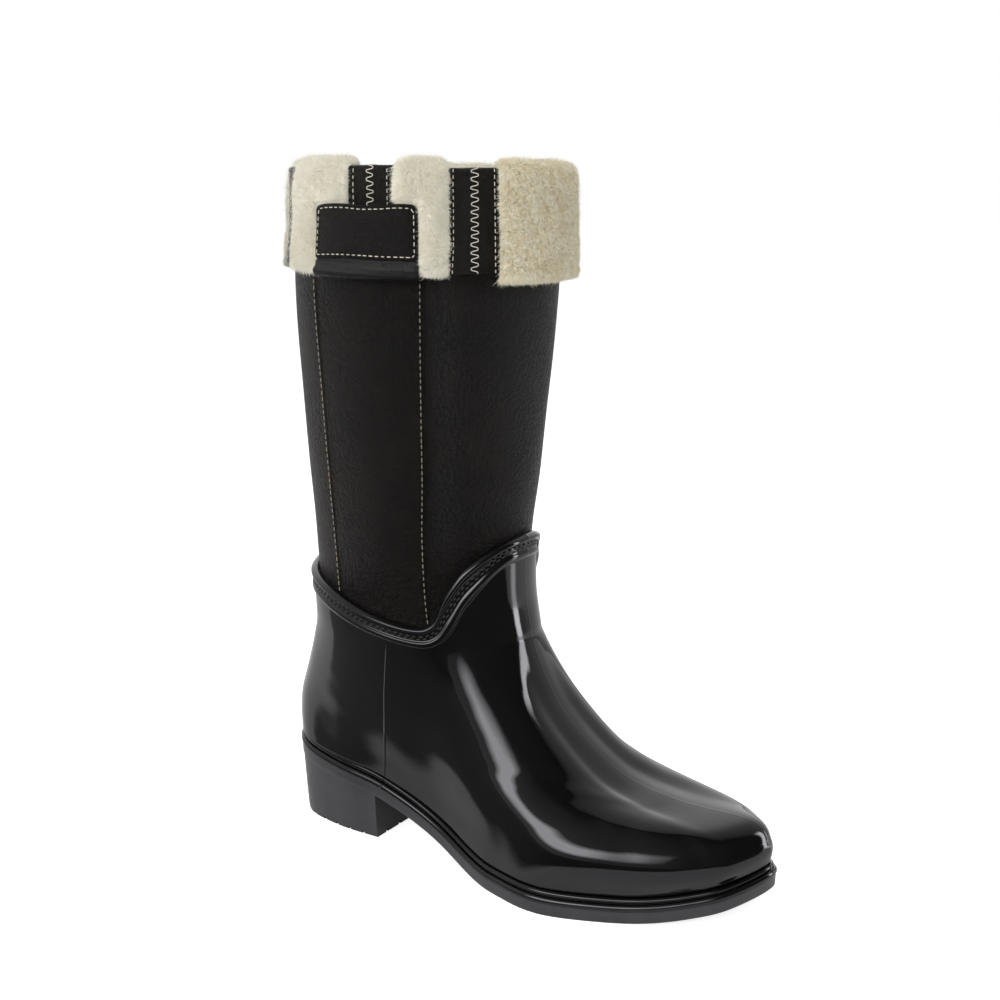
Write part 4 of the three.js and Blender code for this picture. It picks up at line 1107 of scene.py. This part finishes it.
def sheet(name, path_at, thickness, half, puff=None):
    """A sheet of leather: path_at(s) gives its (outward, z) middle for a place s across, from -1 to 1."""
    outer, inner = [], []
    for s in STRAP_COLS:
        path = path_at(s)
        t = unit(np.gradient(path, axis=0))
        edge = max(0.0, (abs(s) - 0.96) / 0.04)
        off = thickness * (1 - 0.35 * edge * edge) / 2
        wide = half(s, path) if callable(half) else half
        raised = off + puff(s, path) if puff else off
        for store, away in ((outer, raised), (inner, -off)):
            store.append(strap_point(s * wide, path[:, 0] + t[:, 1] * away, path[:, 1] - t[:, 0] * away))
    return shell(name, np.stack(outer), np.stack(inner), STRAP)


def anchor_path(s):
    """From inside the cuff, under its lower edge and up over the fleece to the crease."""
    out = strap_place(s)
    leg_gap, droop = 0.75, 0.3 * math.cos(2.9 * s + 0.5) + 0.3 * s
    onto = leg_outward(s * STRAP_HALF, 289.0) + leg_gap
    low = 288.75 - droop * 0.5
    pts = [(leg_outward(s * STRAP_HALF, 312.0) + leg_gap, 312.0), (onto, 291.0), (onto + 0.2, low + 0.3),
           ((onto + out) / 2, low), (out + 0.1, low + 0.6), (out + 0.25, 292.0), (out, 295.0), (out, 296.35)]
    return polyline(rounded(pts, 1.6, 8), 70)


def anchor_puff(s, path):
    """The soft swelling of the fold below the crease, with a slight crease of its own."""
    z, out = path[:, 1], strap_place(s)
    swell = 0.75 * np.exp(-((z - 292.4) / 2.6) ** 2) * (0.8 + 0.2 * math.sin(4.2 * s + 1))
    fold = 0.16 * np.sin(z * 1.5 + 2.2 * s) * np.exp(-((z - 292.6) / 2.6) ** 2)
    return ease(path[:, 0], out - 1.6, out - 0.4) * (swell + fold)


def anchor_half(s, path):
    spread = 1.2
    return STRAP_HALF + spread * ease(294.5 - path[:, 1], 0.0, 3.0) if s < 0 else STRAP_HALF - spread


def leaf_path(s):
    top = LEAF_TOP - float(quarter(s * LEAF_HALF, LEAF_HALF, PATCH_CORNER))
    z = np.linspace(LEAF_LOW, top, 26)
    return np.stack([np.full_like(z, strap_place(s)), z], -1)


def crease_path(s):
    z = np.linspace(294.2, 298.6, 23)
    return np.stack([np.full_like(z, strap_place(s) + LEATHER / 2 + 0.12), z], -1)


def round_hole(obj, radius, z):
    bpy.ops.mesh.primitive_cylinder_add(vertices=48, radius=radius * MM, depth=0.03,
                                        location=to_row(strap_point(0, STAND, z)),
                                        rotation=(math.pi / 2, 0, math.atan2(ACROSS[1], ACROSS[0])))
    apply_boolean(obj, bpy.context.object, STRAP_SHARP)


anchor = sheet("strap_fold_band", anchor_path, LEATHER, anchor_half, anchor_puff)
assign(anchor, ("strap_anchor",))
leaf = sheet("strap_leaf", leaf_path, LEATHER, LEAF_HALF)
round_hole(leaf, 4.9, (CREASE + STRAP_TOP) / 2)
assign(leaf, ("strap_flap",), body="strap")
# the skin of the strap over its crease
crease = sheet("strap_crease", crease_path, 0.2, PATCH_HALF - 0.3)
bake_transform(crease)


def patch():
    """The bare two-layer patch: rounded upper corners, a slightly wavy upper edge and a raised rim."""
    cols, slant = 121, 1.9
    s = evenly(cols)
    x = s * PATCH_HALF
    bends = np.array([-1.0, -0.72, -0.35, 0.02, 0.35, 0.68, 1.0])
    top_line = 320.5 + through(bends, np.array([0.0, 0.75, 0.85, 0.25, 0.45, 0.95, 0.6]), s)
    low_line = 297.0 + through(bends, np.array([-0.15, 0.25, 0.5, 0.3, 0.0, -0.1, -0.2]), s)
    top = (top_line - quarter(x, PATCH_HALF, PATCH_CORNER))[:, None]
    low = (low_line + quarter(x, PATCH_HALF, PATCH_LOW_CORNER))[:, None]
    z = low + (top - low) * (1 - np.cos(np.linspace(0, math.pi, 72)))[None, :] / 2
    xx = x[:, None] + slant * ease(z, 297.0, 320.0) * ease(-s[:, None], -0.2, 1.0)
    off_edge = np.minimum(PATCH_HALF - np.abs(x[:, None]), np.minimum(z - low, top - z))
    off_edge = np.maximum(off_edge, 0)
    back = STAND - SAG * (xx / STRAP_HALF) ** 2 + LEATHER / 2 + 0.3
    rim = 1.05 * np.sqrt(np.clip(off_edge / 0.8, 0, 1))
    seam = 0.34 * np.exp(-((off_edge - 1.7) / 0.5) ** 2)
    crown = 0.12 + rim - seam + 0.22 * ease(off_edge, 2.2, 5.5)
    wave = 0.12 * np.sin(xx / 6.5 + z / 9) + 0.3 * ease(z, 316, 322) * np.cos(2.4 * xx / PATCH_HALF + 0.4)
    outer = strap_point(xx, back + crown + np.maximum(wave, -0.1), z)
    obj = shell("label_patch_bare", outer, strap_point(xx, back, z), TAPE)
    assign(obj, ("label_patch",), body="strap")

    # stitches all round, just inside the rim
    stand = (outer - strap_point(0, 0, 0)) @ OUTWARD

    def on_patch(px, pz):
        moved = slant * float(ease(pz, 297.0, 320.0) * ease(-px / PATCH_HALF, -0.2, 1.0))
        col = np.interp(px, x, np.arange(cols))
        k = int(np.clip(np.floor(col), 0, cols - 2))
        t = col - k
        first, second = (np.interp(pz, z[c], stand[c]) for c in (k, k + 1))
        return strap_point(px + moved, first * (1 - t) + second * t, pz)

    def upper(px):
        return float(np.interp(px, x, top_line)) - margin

    def lower(px):
        return float(np.interp(px, x, low_line)) + margin

    def corner(side, start, end):
        middle = side * (half - r)
        turns = np.linspace(start * math.pi, end * math.pi, 6)[1:]
        return [(middle + r * math.cos(t), upper(middle) - r + r * math.sin(t)) for t in turns]

    margin, r, half = 1.75, 2.0, PATCH_HALF - 1.35
    path = [(px, lower(px)) for px in np.linspace(-half, half, 80)]
    path += [(half, pz) for pz in np.linspace(lower(half), upper(half) - r, 24)[1:]]
    path += corner(1, 0, 0.5)
    path += [(px, upper(px)) for px in np.linspace(half - r, r - half, 80)[1:]]
    path += corner(-1, 0.5, 1)
    path += [(-half, pz) for pz in np.linspace(upper(-half) - r, lower(-half), 24)[1:]]
    pts = np.array([on_patch(*q) for q in path])
    st = Stitching()
    st.along(pts, np.tile(OUTWARD, (len(pts), 1)), pitch=2.9, length=1.95, radius=0.2, rise=0.18, sink=0.25)
    st.build("label_patch_thread", THREAD, body="strap")


patch()

# The fleece: a hide for each panel, and mesh fibres that stand on it
LEG_BACK = -20
PILE_TOP_DROP, PILE_TOP_TILT, PILE_TOP_AT = 2.4, 1.7, math.radians(262)
FIBRE_LIMIT, FIBRE_LOCKS, FIBRE_PIECES = 38500, 4096, 3
FLEECE_ARC, FLEECE_EDGE_REACH, FLEECE_EDGE_DEPTH, TAPE_GAP = 62.0, 5.5, 3.2, 0.35
REAR_TAPE = TAPES[TAPE_NAMES.index("outer_rear")]


def fleece_top(angle):
    return CUFF_TOP - PILE_TOP_DROP + PILE_TOP_TILT * math.cos(angle - PILE_TOP_AT)


def fleece_profile(angle, shrink):
    """Outer and inner (offset, height) lines of the fleece at an angle; shrink draws the outer one in."""
    rear = float(ease(-math.cos(angle), -0.2, 0.7))
    out = float(fleece_out(angle)) - shrink
    seat = float(fleece_seat(angle))
    back = shrink - LINING_BACK
    top = fleece_top(angle) - shrink
    low = float(fleece_low(angle))
    high_zone, high_draw = 8.0 + 6.0 * rear, 2.2 + 1.8 * rear
    low_zone, low_draw = 5.0 + 7.0 * rear, 1.0 + 2.2 * rear
    outer = [(seat + 0.6, low + 0.2), (max(out - low_draw, seat + 0.8), low + 0.5 + shrink * 0.5),
             (out - 0.3 * low_draw, low + 0.45 * low_zone), (out, low + low_zone), (out, top - high_zone),
             (out - 0.35 * high_draw, top - 0.45 * high_zone), (out - high_draw, top - 0.1 * high_zone),
             (back + 1.2, top), (back, top - 2.0), (back, CUFF_INNER)]
    inner = [(seat, low + 0.6), (seat, SEAT_TOP), (TAPE_BACK, SEAT_TOP), (TAPE_BACK, CUFF_INNER)]
    return rounded(outer, 5.0, 8), rounded(inner, 0.5, 3)


def strap_frame(p):
    """Places across, outward and in height in the strap's frame."""
    q = p - MIDDLE * [1, 1, 0]
    return q @ ACROSS, q @ OUTWARD, q[..., 2]


def strap_recess(p):
    """Draws fleece points in behind the strap, so that none stands in front of its inner face."""
    across, outward, z = strap_frame(p)
    inside = ease(STRAP_HALF + 1.6 - np.abs(across), 0.0, 2.0) * ease(323.4 - z, 0.0, 1.8)
    limit = strap_place(np.clip(across / STRAP_HALF, -1, 1)) - LEATHER / 2 - 0.25
    over = np.maximum(outward - limit, 0) * inside * (outward > LEG_BACK)
    return p - over[..., None] * OUTWARD


def pile_flow(root, down):
    """The direction in which the pile lies: down, and over the edges of the tapes and of the strap."""
    lie = np.zeros_like(root)
    lie[:, 2] = -down
    lie[:, 0] = 0.15 * np.sin(root[:, 2] / 9.0)
    axis, hd, hw = leg_section(np.minimum(root[:, 2], SHAFT_TOP))
    angle = np.arctan2(root[:, 1] / hw, (root[:, 0] - axis) / hd)
    along = unit(np.stack([-hd * np.sin(angle), hw * np.cos(angle), np.zeros_like(angle)], -1))
    for centre, name in zip(TAPES, TAPE_NAMES):
        pull = {"outer_side": 1.3, "outer_rear": 1.6}.get(name, 0.6)
        off = angle - centre
        off = (off - 2 * math.pi * np.round(off / (2 * math.pi))) * FLEECE_ARC
        near = np.exp(-(np.maximum(np.abs(off) - TAPE_WIDTH / 2, 0) / 2.0) ** 2)
        lie -= along * (np.sign(off) * near * pull)[:, None]
    across, outward, z = strap_frame(root)
    near = np.exp(-((np.abs(across) - STRAP_HALF) / 1.8) ** 2) * (outward > LEG_BACK) * (z < 324)
    return lie - ACROSS * (near * np.where(across > 0, 1.6, -0.4))[:, None]


def strands(name, surf, nrm, weight, material, seed, density, length, width, down, curly):
    """Ribbon fibres rooted on a grid surface: so many on a square millimetre, where the weight is 1."""
    r = np.random.default_rng(seed)
    a, b, c, d = surf[:-1, :-1], surf[1:, :-1], surf[1:, 1:], surf[:-1, 1:]
    area = 0.5 * sum(np.linalg.norm(np.cross(u, v), axis=-1) for u, v in ((b - a, c - a), (c - a, d - a)))
    area = area * weight[:-1, :-1]
    total = area.sum()
    count = int(min(total * density, FIBRE_LIMIT))
    i, k = np.unravel_index(r.choice(area.size, count, p=(area / total).ravel()), area.shape)
    u, v = r.random((2, count, 1))

    def pick(g):
        return (g[i, k] * (1 - u) * (1 - v) + g[i + 1, k] * u * (1 - v)
                + g[i + 1, k + 1] * u * v + g[i, k + 1] * (1 - u) * v)

    def across_normal(vectors):
        return vectors - n * np.sum(vectors * n, 1, keepdims=True)

    root, n = pick(surf), unit(pick(nrm))
    # locks: neighbouring fibres lean the same way and gather at their tips
    cell = 1.5 if curly > 0.8 else 2.2
    key = np.floor(root / cell + 0.35 * np.sin(root[:, [1, 2, 0]] * 0.9)).astype(np.int64)
    code = (key[:, 0] * 73856093) ^ (key[:, 1] * 19349663) ^ (key[:, 2] * 83492791)
    lean = r.normal(0, 1, (FIBRE_LOCKS, 3))[np.abs(code) % FIBRE_LOCKS]
    toward = across_normal((key + 0.5) * cell - root)
    wave = np.stack([lumps(root, 12.0, seed + turn, 1.0) for turn in (1, 2, 3)], -1)
    loose = 0.3 * r.normal(0, 1, root.shape)
    tang = across_normal(pile_flow(root, down) + 0.16 * wave + (0.1 + 0.34 * curly) * lean + loose)
    size = length * (0.7 + 0.45 * r.random((count, 1)))
    side = unit(np.cross(n, unit(tang + 1e-6)) + 0.5 * r.normal(0, 1, root.shape))
    curl = r.normal(0, 1, (count, 3)) * (0.16 + 0.3 * curly)
    wide = side * width * (0.7 + 0.6 * r.random((count, 1)))
    rows = []
    for t in np.arange(FIBRE_PIECES + 1) / FIBRE_PIECES:
        lift = n * (t - 0.42 * t * t) * size * 0.95
        lay = tang * (0.25 * t + 0.62 * t * t) * size * 0.62
        gather = toward * (0.08 + 0.45 * curly) * t * t
        middle = root - n * 0.35 + lift + lay + gather + curl * math.sin(t * 5.2) * size * 0.25
        half = wide * (1 - 0.3 * t)
        rows += [middle - half, middle + half] if t < 1 else [middle]
    base = np.arange(count)[:, None] * len(rows)
    quads = np.concatenate([base + np.array([[0, 1, 3, 2]]), base + np.array([[2, 3, 5, 4]])])
    faces = [quads, base + np.array([[4, 5, 6]])]
    assign(make_mesh(name, np.stack(rows, 1).reshape(-1, 3), faces, material))


def fleece_hide(index, start, end):
    """Angles, outer and inner grid of a panel between two tapes, rounded down towards both tapes."""
    a0, a1 = [at + way * float(arc_angle(at, TAPE_WIDTH / 2) + arc_angle(at, TAPE_GAP))
              for at, way in ((start, 1), (end, -1))]
    arc = FLEECE_ARC * (a1 - a0)
    s = np.linspace(0, 1, max(int(arc / (0.8)), 24))
    s = s - 0.5 * np.sin(2 * math.pi * s) / (2 * math.pi)
    a = a0 + (a1 - a0) * s
    n = 120
    outer, inner = [], []
    for angle, share in zip(a, s):
        lost = max(1 - min(share, 1 - share) * arc / FLEECE_EDGE_REACH, 0)
        shrink = 1.1 + FLEECE_EDGE_DEPTH * (1 - math.sqrt(1 - lost * lost))
        for store, line in zip((outer, inner), fleece_profile(angle, shrink)):
            store.append(hung(angle, line, n))
    outer, inner = np.stack(outer), np.stack(inner)
    swell = lumps(outer, 15.0, 41 + index, 0.16) + lumps(outer, 5.0, 51 + index, 0.14)
    across, outward, z = strap_frame(outer)
    beside = np.exp(-((across - STRAP_HALF - 3.4) / 2.8) ** 2)
    swell += 2.6 * beside * ease(z, 292, 298) * ease(326 - z, 0, 5) * (outward > LEG_BACK)
    row_shares = np.arange(n) / n
    fade = ease(row_shares, 0.0, 0.04) * ease(1 - row_shares, 0.0, 0.06)
    return a, strap_recess(outer + grid_normals(outer, False) * (swell * fade[None, :])[..., None]), inner


def fleece_panel(index, name, start, end):
    """One panel of the cuff's fleece with its pile, fringe and fluff."""
    a, outer, inner = fleece_hide(index, start, end)
    normals = grid_normals(outer, False)
    curly = name == "front"
    # the curly panel's ground carries painted shade for the hollows between its curls
    hide = shell("fleece_hide_" + name, outer, inner, CURLY_SHADED_GROUND if curly else FLEECE)
    assign(hide, ("cuff_fleece_" + name,))
    across, outward, z = strap_frame(outer)
    behind = (np.abs(across) < STRAP_HALF + 0.2) & (z < 322.3) & (z > 288) & (outward > LEG_BACK)
    weight = np.where(behind, 0.0, 1.0)
    rows = outer.shape[1]
    front_rows = np.arange(rows)[None, :] < rows // 2
    over_low = outer[..., 2] - np.array([float(fleece_low(angle)) for angle in a])[:, None]

    def fibres(kind, where, seed, nrm_shift=0.0, **looks):
        pile = CURLY if curly else FLEECE
        strands(f"fleece_{kind}", outer - nrm_shift * normals, normals, where, pile, seed, **looks)

    layers = ((7.0, 3.2, 0.13), (9.0, 2.6, 0.07)) if curly else ((11.0, 3.0, 0.07), (6.0, 3.6, 0.11))
    if name not in ("front", "outer_front", "outer_rear"):
        layers = layers[:1]
    for layer, (density, length, width) in enumerate(layers):
        fibres(f"pile_{name}_{layer + 1}", weight, 61 + 7 * index + 50 * layer, density=density,
               length=length, width=width, down=0.45, curly=1.0 if curly else 0.25)
    if behind.any():
        # the pile pressed flat behind the strap
        fibres("pressed_" + name, behind.astype(float), 461 + index, nrm_shift=0.3, density=16.0, length=2.1,
               width=0.08, down=1.0, curly=0.25)
    fibres("fringe_" + name, weight * (over_low < 3.2) * front_rows, 161 + 7 * index, density=14.0,
           length=4.8 if curly else 4.0, width=0.07, down=1.0, curly=0.5)
    fibres("fluff_" + name, weight, 261 + 7 * index, density=1.5, length=5.2, width=0.05, down=0.2,
           curly=0.4)
    if name in ("outer_rear", "back"):
        # longer fibres that close over the two ends of the tape at the rear
        off = np.abs(a[:, None] - REAR_TAPE)
        off = np.minimum(off, 2 * math.pi - off) * FLEECE_ARC - TAPE_WIDTH / 2
        ends = (off < 4.0) * ((outer[..., 2] > CUFF_TOP - 15) | (over_low < 11)) * front_rows
        fibres("cover_" + name, weight * ends, 361 + 7 * index, density=14.0, length=4.6, width=0.08,
               down=0.3, curly=0.3)


fleece_ends = [*TAPES[1:], TAPES[0] + 2 * math.pi]
for fleece_index, fleece_item in enumerate(zip(FLEECE_NAMES, TAPES, fleece_ends)):
    fleece_panel(fleece_index, *fleece_item)

# CAD nodes that stay, with materials
for node_name, node_material in (("insole_board", BOARD), ("stud_post", STEEL), ("stud_socket", STEEL)):
    node_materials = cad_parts[node_name].data.materials
    node_materials.clear()
    node_materials.append(node_material)


# Floor, light and camera
def floor():
    """A pale floor. To glossy rays it glows as a painted reflection: it ends at a table edge before the
    boot, with the dim room beyond it.
    """
    bpy.ops.mesh.primitive_plane_add(size=14, location=(0, 0, -0.0002))
    plane = bpy.context.object
    plane.name = "floor"
    mat, tree, bsdf, vec = new_material("pale_floor")
    tree.put(bsdf, {"Base Color": (0.86, 0.855, 0.86, 1), "Roughness": 0.6, "Specular IOR Level": 0.1})
    matt = bsdf.outputs[0]
    x, y, _ = tree.split(vec)
    mirrored = tree.ray("Glossy")
    edge, edge_half, edge_slope, middle = -0.068, 0.004, 0.45, 0.5
    # painted reflection: beyond the table's edge and its slanting corner the floor glows dimly to glossy
    # rays, as the dim room
    level = tree.ramp(tree.math("ADD", x, middle), (0.24, 0.26), (0.42, 0.16), (0.54, 0.07), (0.8, 0.1))
    turned = tree.math("MULTIPLY_ADD", tree.math("MAXIMUM", x, 0.0), edge_slope, middle)
    before = tree.ramp(tree.math("ADD", y, turned), (middle + edge - edge_half, 1.0),
                       (middle + edge + edge_half, 0.0))
    beside = tree.ramp(x, (0.28, 0.0), (0.36, 1.0))
    slant = tree.math("MULTIPLY_ADD", x, -edge_slope, y)
    near = tree.ramp(tree.math("ADD", slant, 0.585), (0.48, 1.0), (0.52, 0.0))
    beyond = tree.math("MAXIMUM", before, tree.math("MULTIPLY", beside, near))
    reflected = tree.mix(tree.math("MULTIPLY", beyond, mirrored), matt, tree.glow(level))
    # painted reflection: to glossy rays a strip of the floor before the right lamp glows, as the lamp's
    # sheen on the floor
    way = tree.math("DIVIDE", y, tree.math("ADD", x, 0.05))
    streak = tree.ramp(tree.apart(way, 0.51), (0.05, 1.0), (0.13, 0.0))
    reach = tree.ramp(x, (0.16, 0.0), (0.3, 1.0))
    sheen = tree.math("MULTIPLY", tree.math("MULTIPLY", streak, reach), mirrored)
    lit = tree.sum(reflected, tree.glow(tree.math("MULTIPLY", sheen, 3.0)))
    seen = tree.sum(matt, tree.glow(0.76))
    tree.put(tree.nodes["Material Output"], {"Surface": tree.mix(tree.ray("Camera"), lit, seen)})
    plane.data.materials.append(mat)


def room():
    """White to the camera, even for matt surfaces, and for glossy ones pale behind, dark before the boot."""
    world = bpy.data.worlds.new("studio")
    bpy.context.scene.world = world
    world.use_nodes = True
    tree = Tree(world.node_tree)
    x, y, z = tree.split(tree.coords("Generated"))
    turn = tree.math("MULTIPLY_ADD", tree.math("ARCTAN2", y, x), 0.5 / math.pi, 0.5)
    degrees = [(-180, 0.9), (-140, 0.75), (-110, 0.6), (-75, 0.4), (-50, 0.12), (18, 0.05), (34, 0.45),
               (60, 0.7), (90, 0.9), (110, 1.35), (140, 1.4), (179, 0.9)]
    around = tree.ramp(turn, *((at / 360 + 0.5, level) for at, level in degrees))
    height = tree.ramp(z, (0.7, 1.0), (0.97, 0.55))
    glossy, ambient, white = [
        tree.add("Background", {"Color": (1, 1, 1, 1), "Strength": strength}).outputs[0]
        for strength in (tree.math("MULTIPLY", around, height), 0.34, 1.0)]
    unseen = tree.mix(tree.ray("Glossy"), ambient, glossy)
    tree.put(tree.nodes["World Output"], {"Surface": tree.mix(tree.ray("Camera"), unseen, white)})


def softbox(name, azimuth, elevation, distance, size, power, target, glossy=True, edge=0.0):
    """A rectangular lamp aimed at a point; edge is the share of its width over which it fades."""
    light = bpy.data.lights.new(name, "AREA")
    light.shape = "RECTANGLE"
    light.size, light.size_y = size
    light.energy = power
    if edge:
        light.use_nodes = True
        tree = Tree(light.node_tree)
        on_lamp = tree.split(tree.add("NewGeometry").outputs["Parametric"])
        fades = [tree.ramp(tree.apart(on_lamp[axis], 0.5), (0.5 - edge, 1.0), (0.5, 0.0))
                 for axis in "XY"]
        tree.put(tree.nodes["Emission"], {"Strength": tree.math("MULTIPLY", *fades)})
    obj = bpy.data.objects.new(name, light)
    bpy.context.scene.collection.objects.link(obj)
    a, e = math.radians(azimuth), math.radians(elevation)
    aim = Vector(target)
    spot = aim + Vector((math.cos(a) * math.cos(e), math.sin(a) * math.cos(e), math.sin(e))) * distance
    obj.location = spot
    obj.rotation_euler = (aim - spot).to_track_quat("-Z", "Y").to_euler()
    obj.visible_camera = False
    obj.visible_glossy = glossy


def camera():
    """The camera that the photograph's edges give: place in millimetres, focal length in pixels of 1000."""
    side, distance, height, focal = math.radians(31.86), 689.19, 340.46, 1477.33
    pitch, yaw = math.radians(13.01), math.radians(0.79)
    at = np.array([SOLE_LENGTH / 2 + distance * math.sin(side), -distance * math.cos(side), height])
    level = np.array([-math.sin(side + yaw), math.cos(side + yaw), 0.0])
    ahead = level * math.cos(pitch) - np.array([0, 0, math.sin(pitch)])
    right = unit(np.cross(ahead, [0, 0, 1.0]))
    data = bpy.data.cameras.new("camera")
    obj = bpy.data.objects.new("camera", data)
    bpy.context.scene.collection.objects.link(obj)
    turn = np.stack([right, np.cross(right, ahead), -ahead, to_row(at)], 1)
    obj.matrix_world = Matrix([*turn.tolist(), (0, 0, 0, 1)])
    data.sensor_width = 36
    data.sensor_fit = "HORIZONTAL"
    data.lens = focal / 1000 * data.sensor_width
    data.clip_start = 0.01
    bpy.context.scene.camera = obj


floor()
room()
softbox("softbox_left", azimuth=-93, elevation=25, distance=1.1, size=(1.4, 0.66), power=18,
        target=(0.02, 0, 0.08), edge=0.28)
softbox("softbox_right", azimuth=27, elevation=12, distance=1.25, size=(0.27, 1.2), power=8,
        target=(-0.05, 0, 0.12), edge=0.24)
softbox("softbox_top", azimuth=-60, elevation=74, distance=1.5, size=(0.9, 0.9), power=10,
        target=(0, 0, 0.15), glossy=False)
camera()
bpy.context.scene.view_settings.view_transform = "Standard"
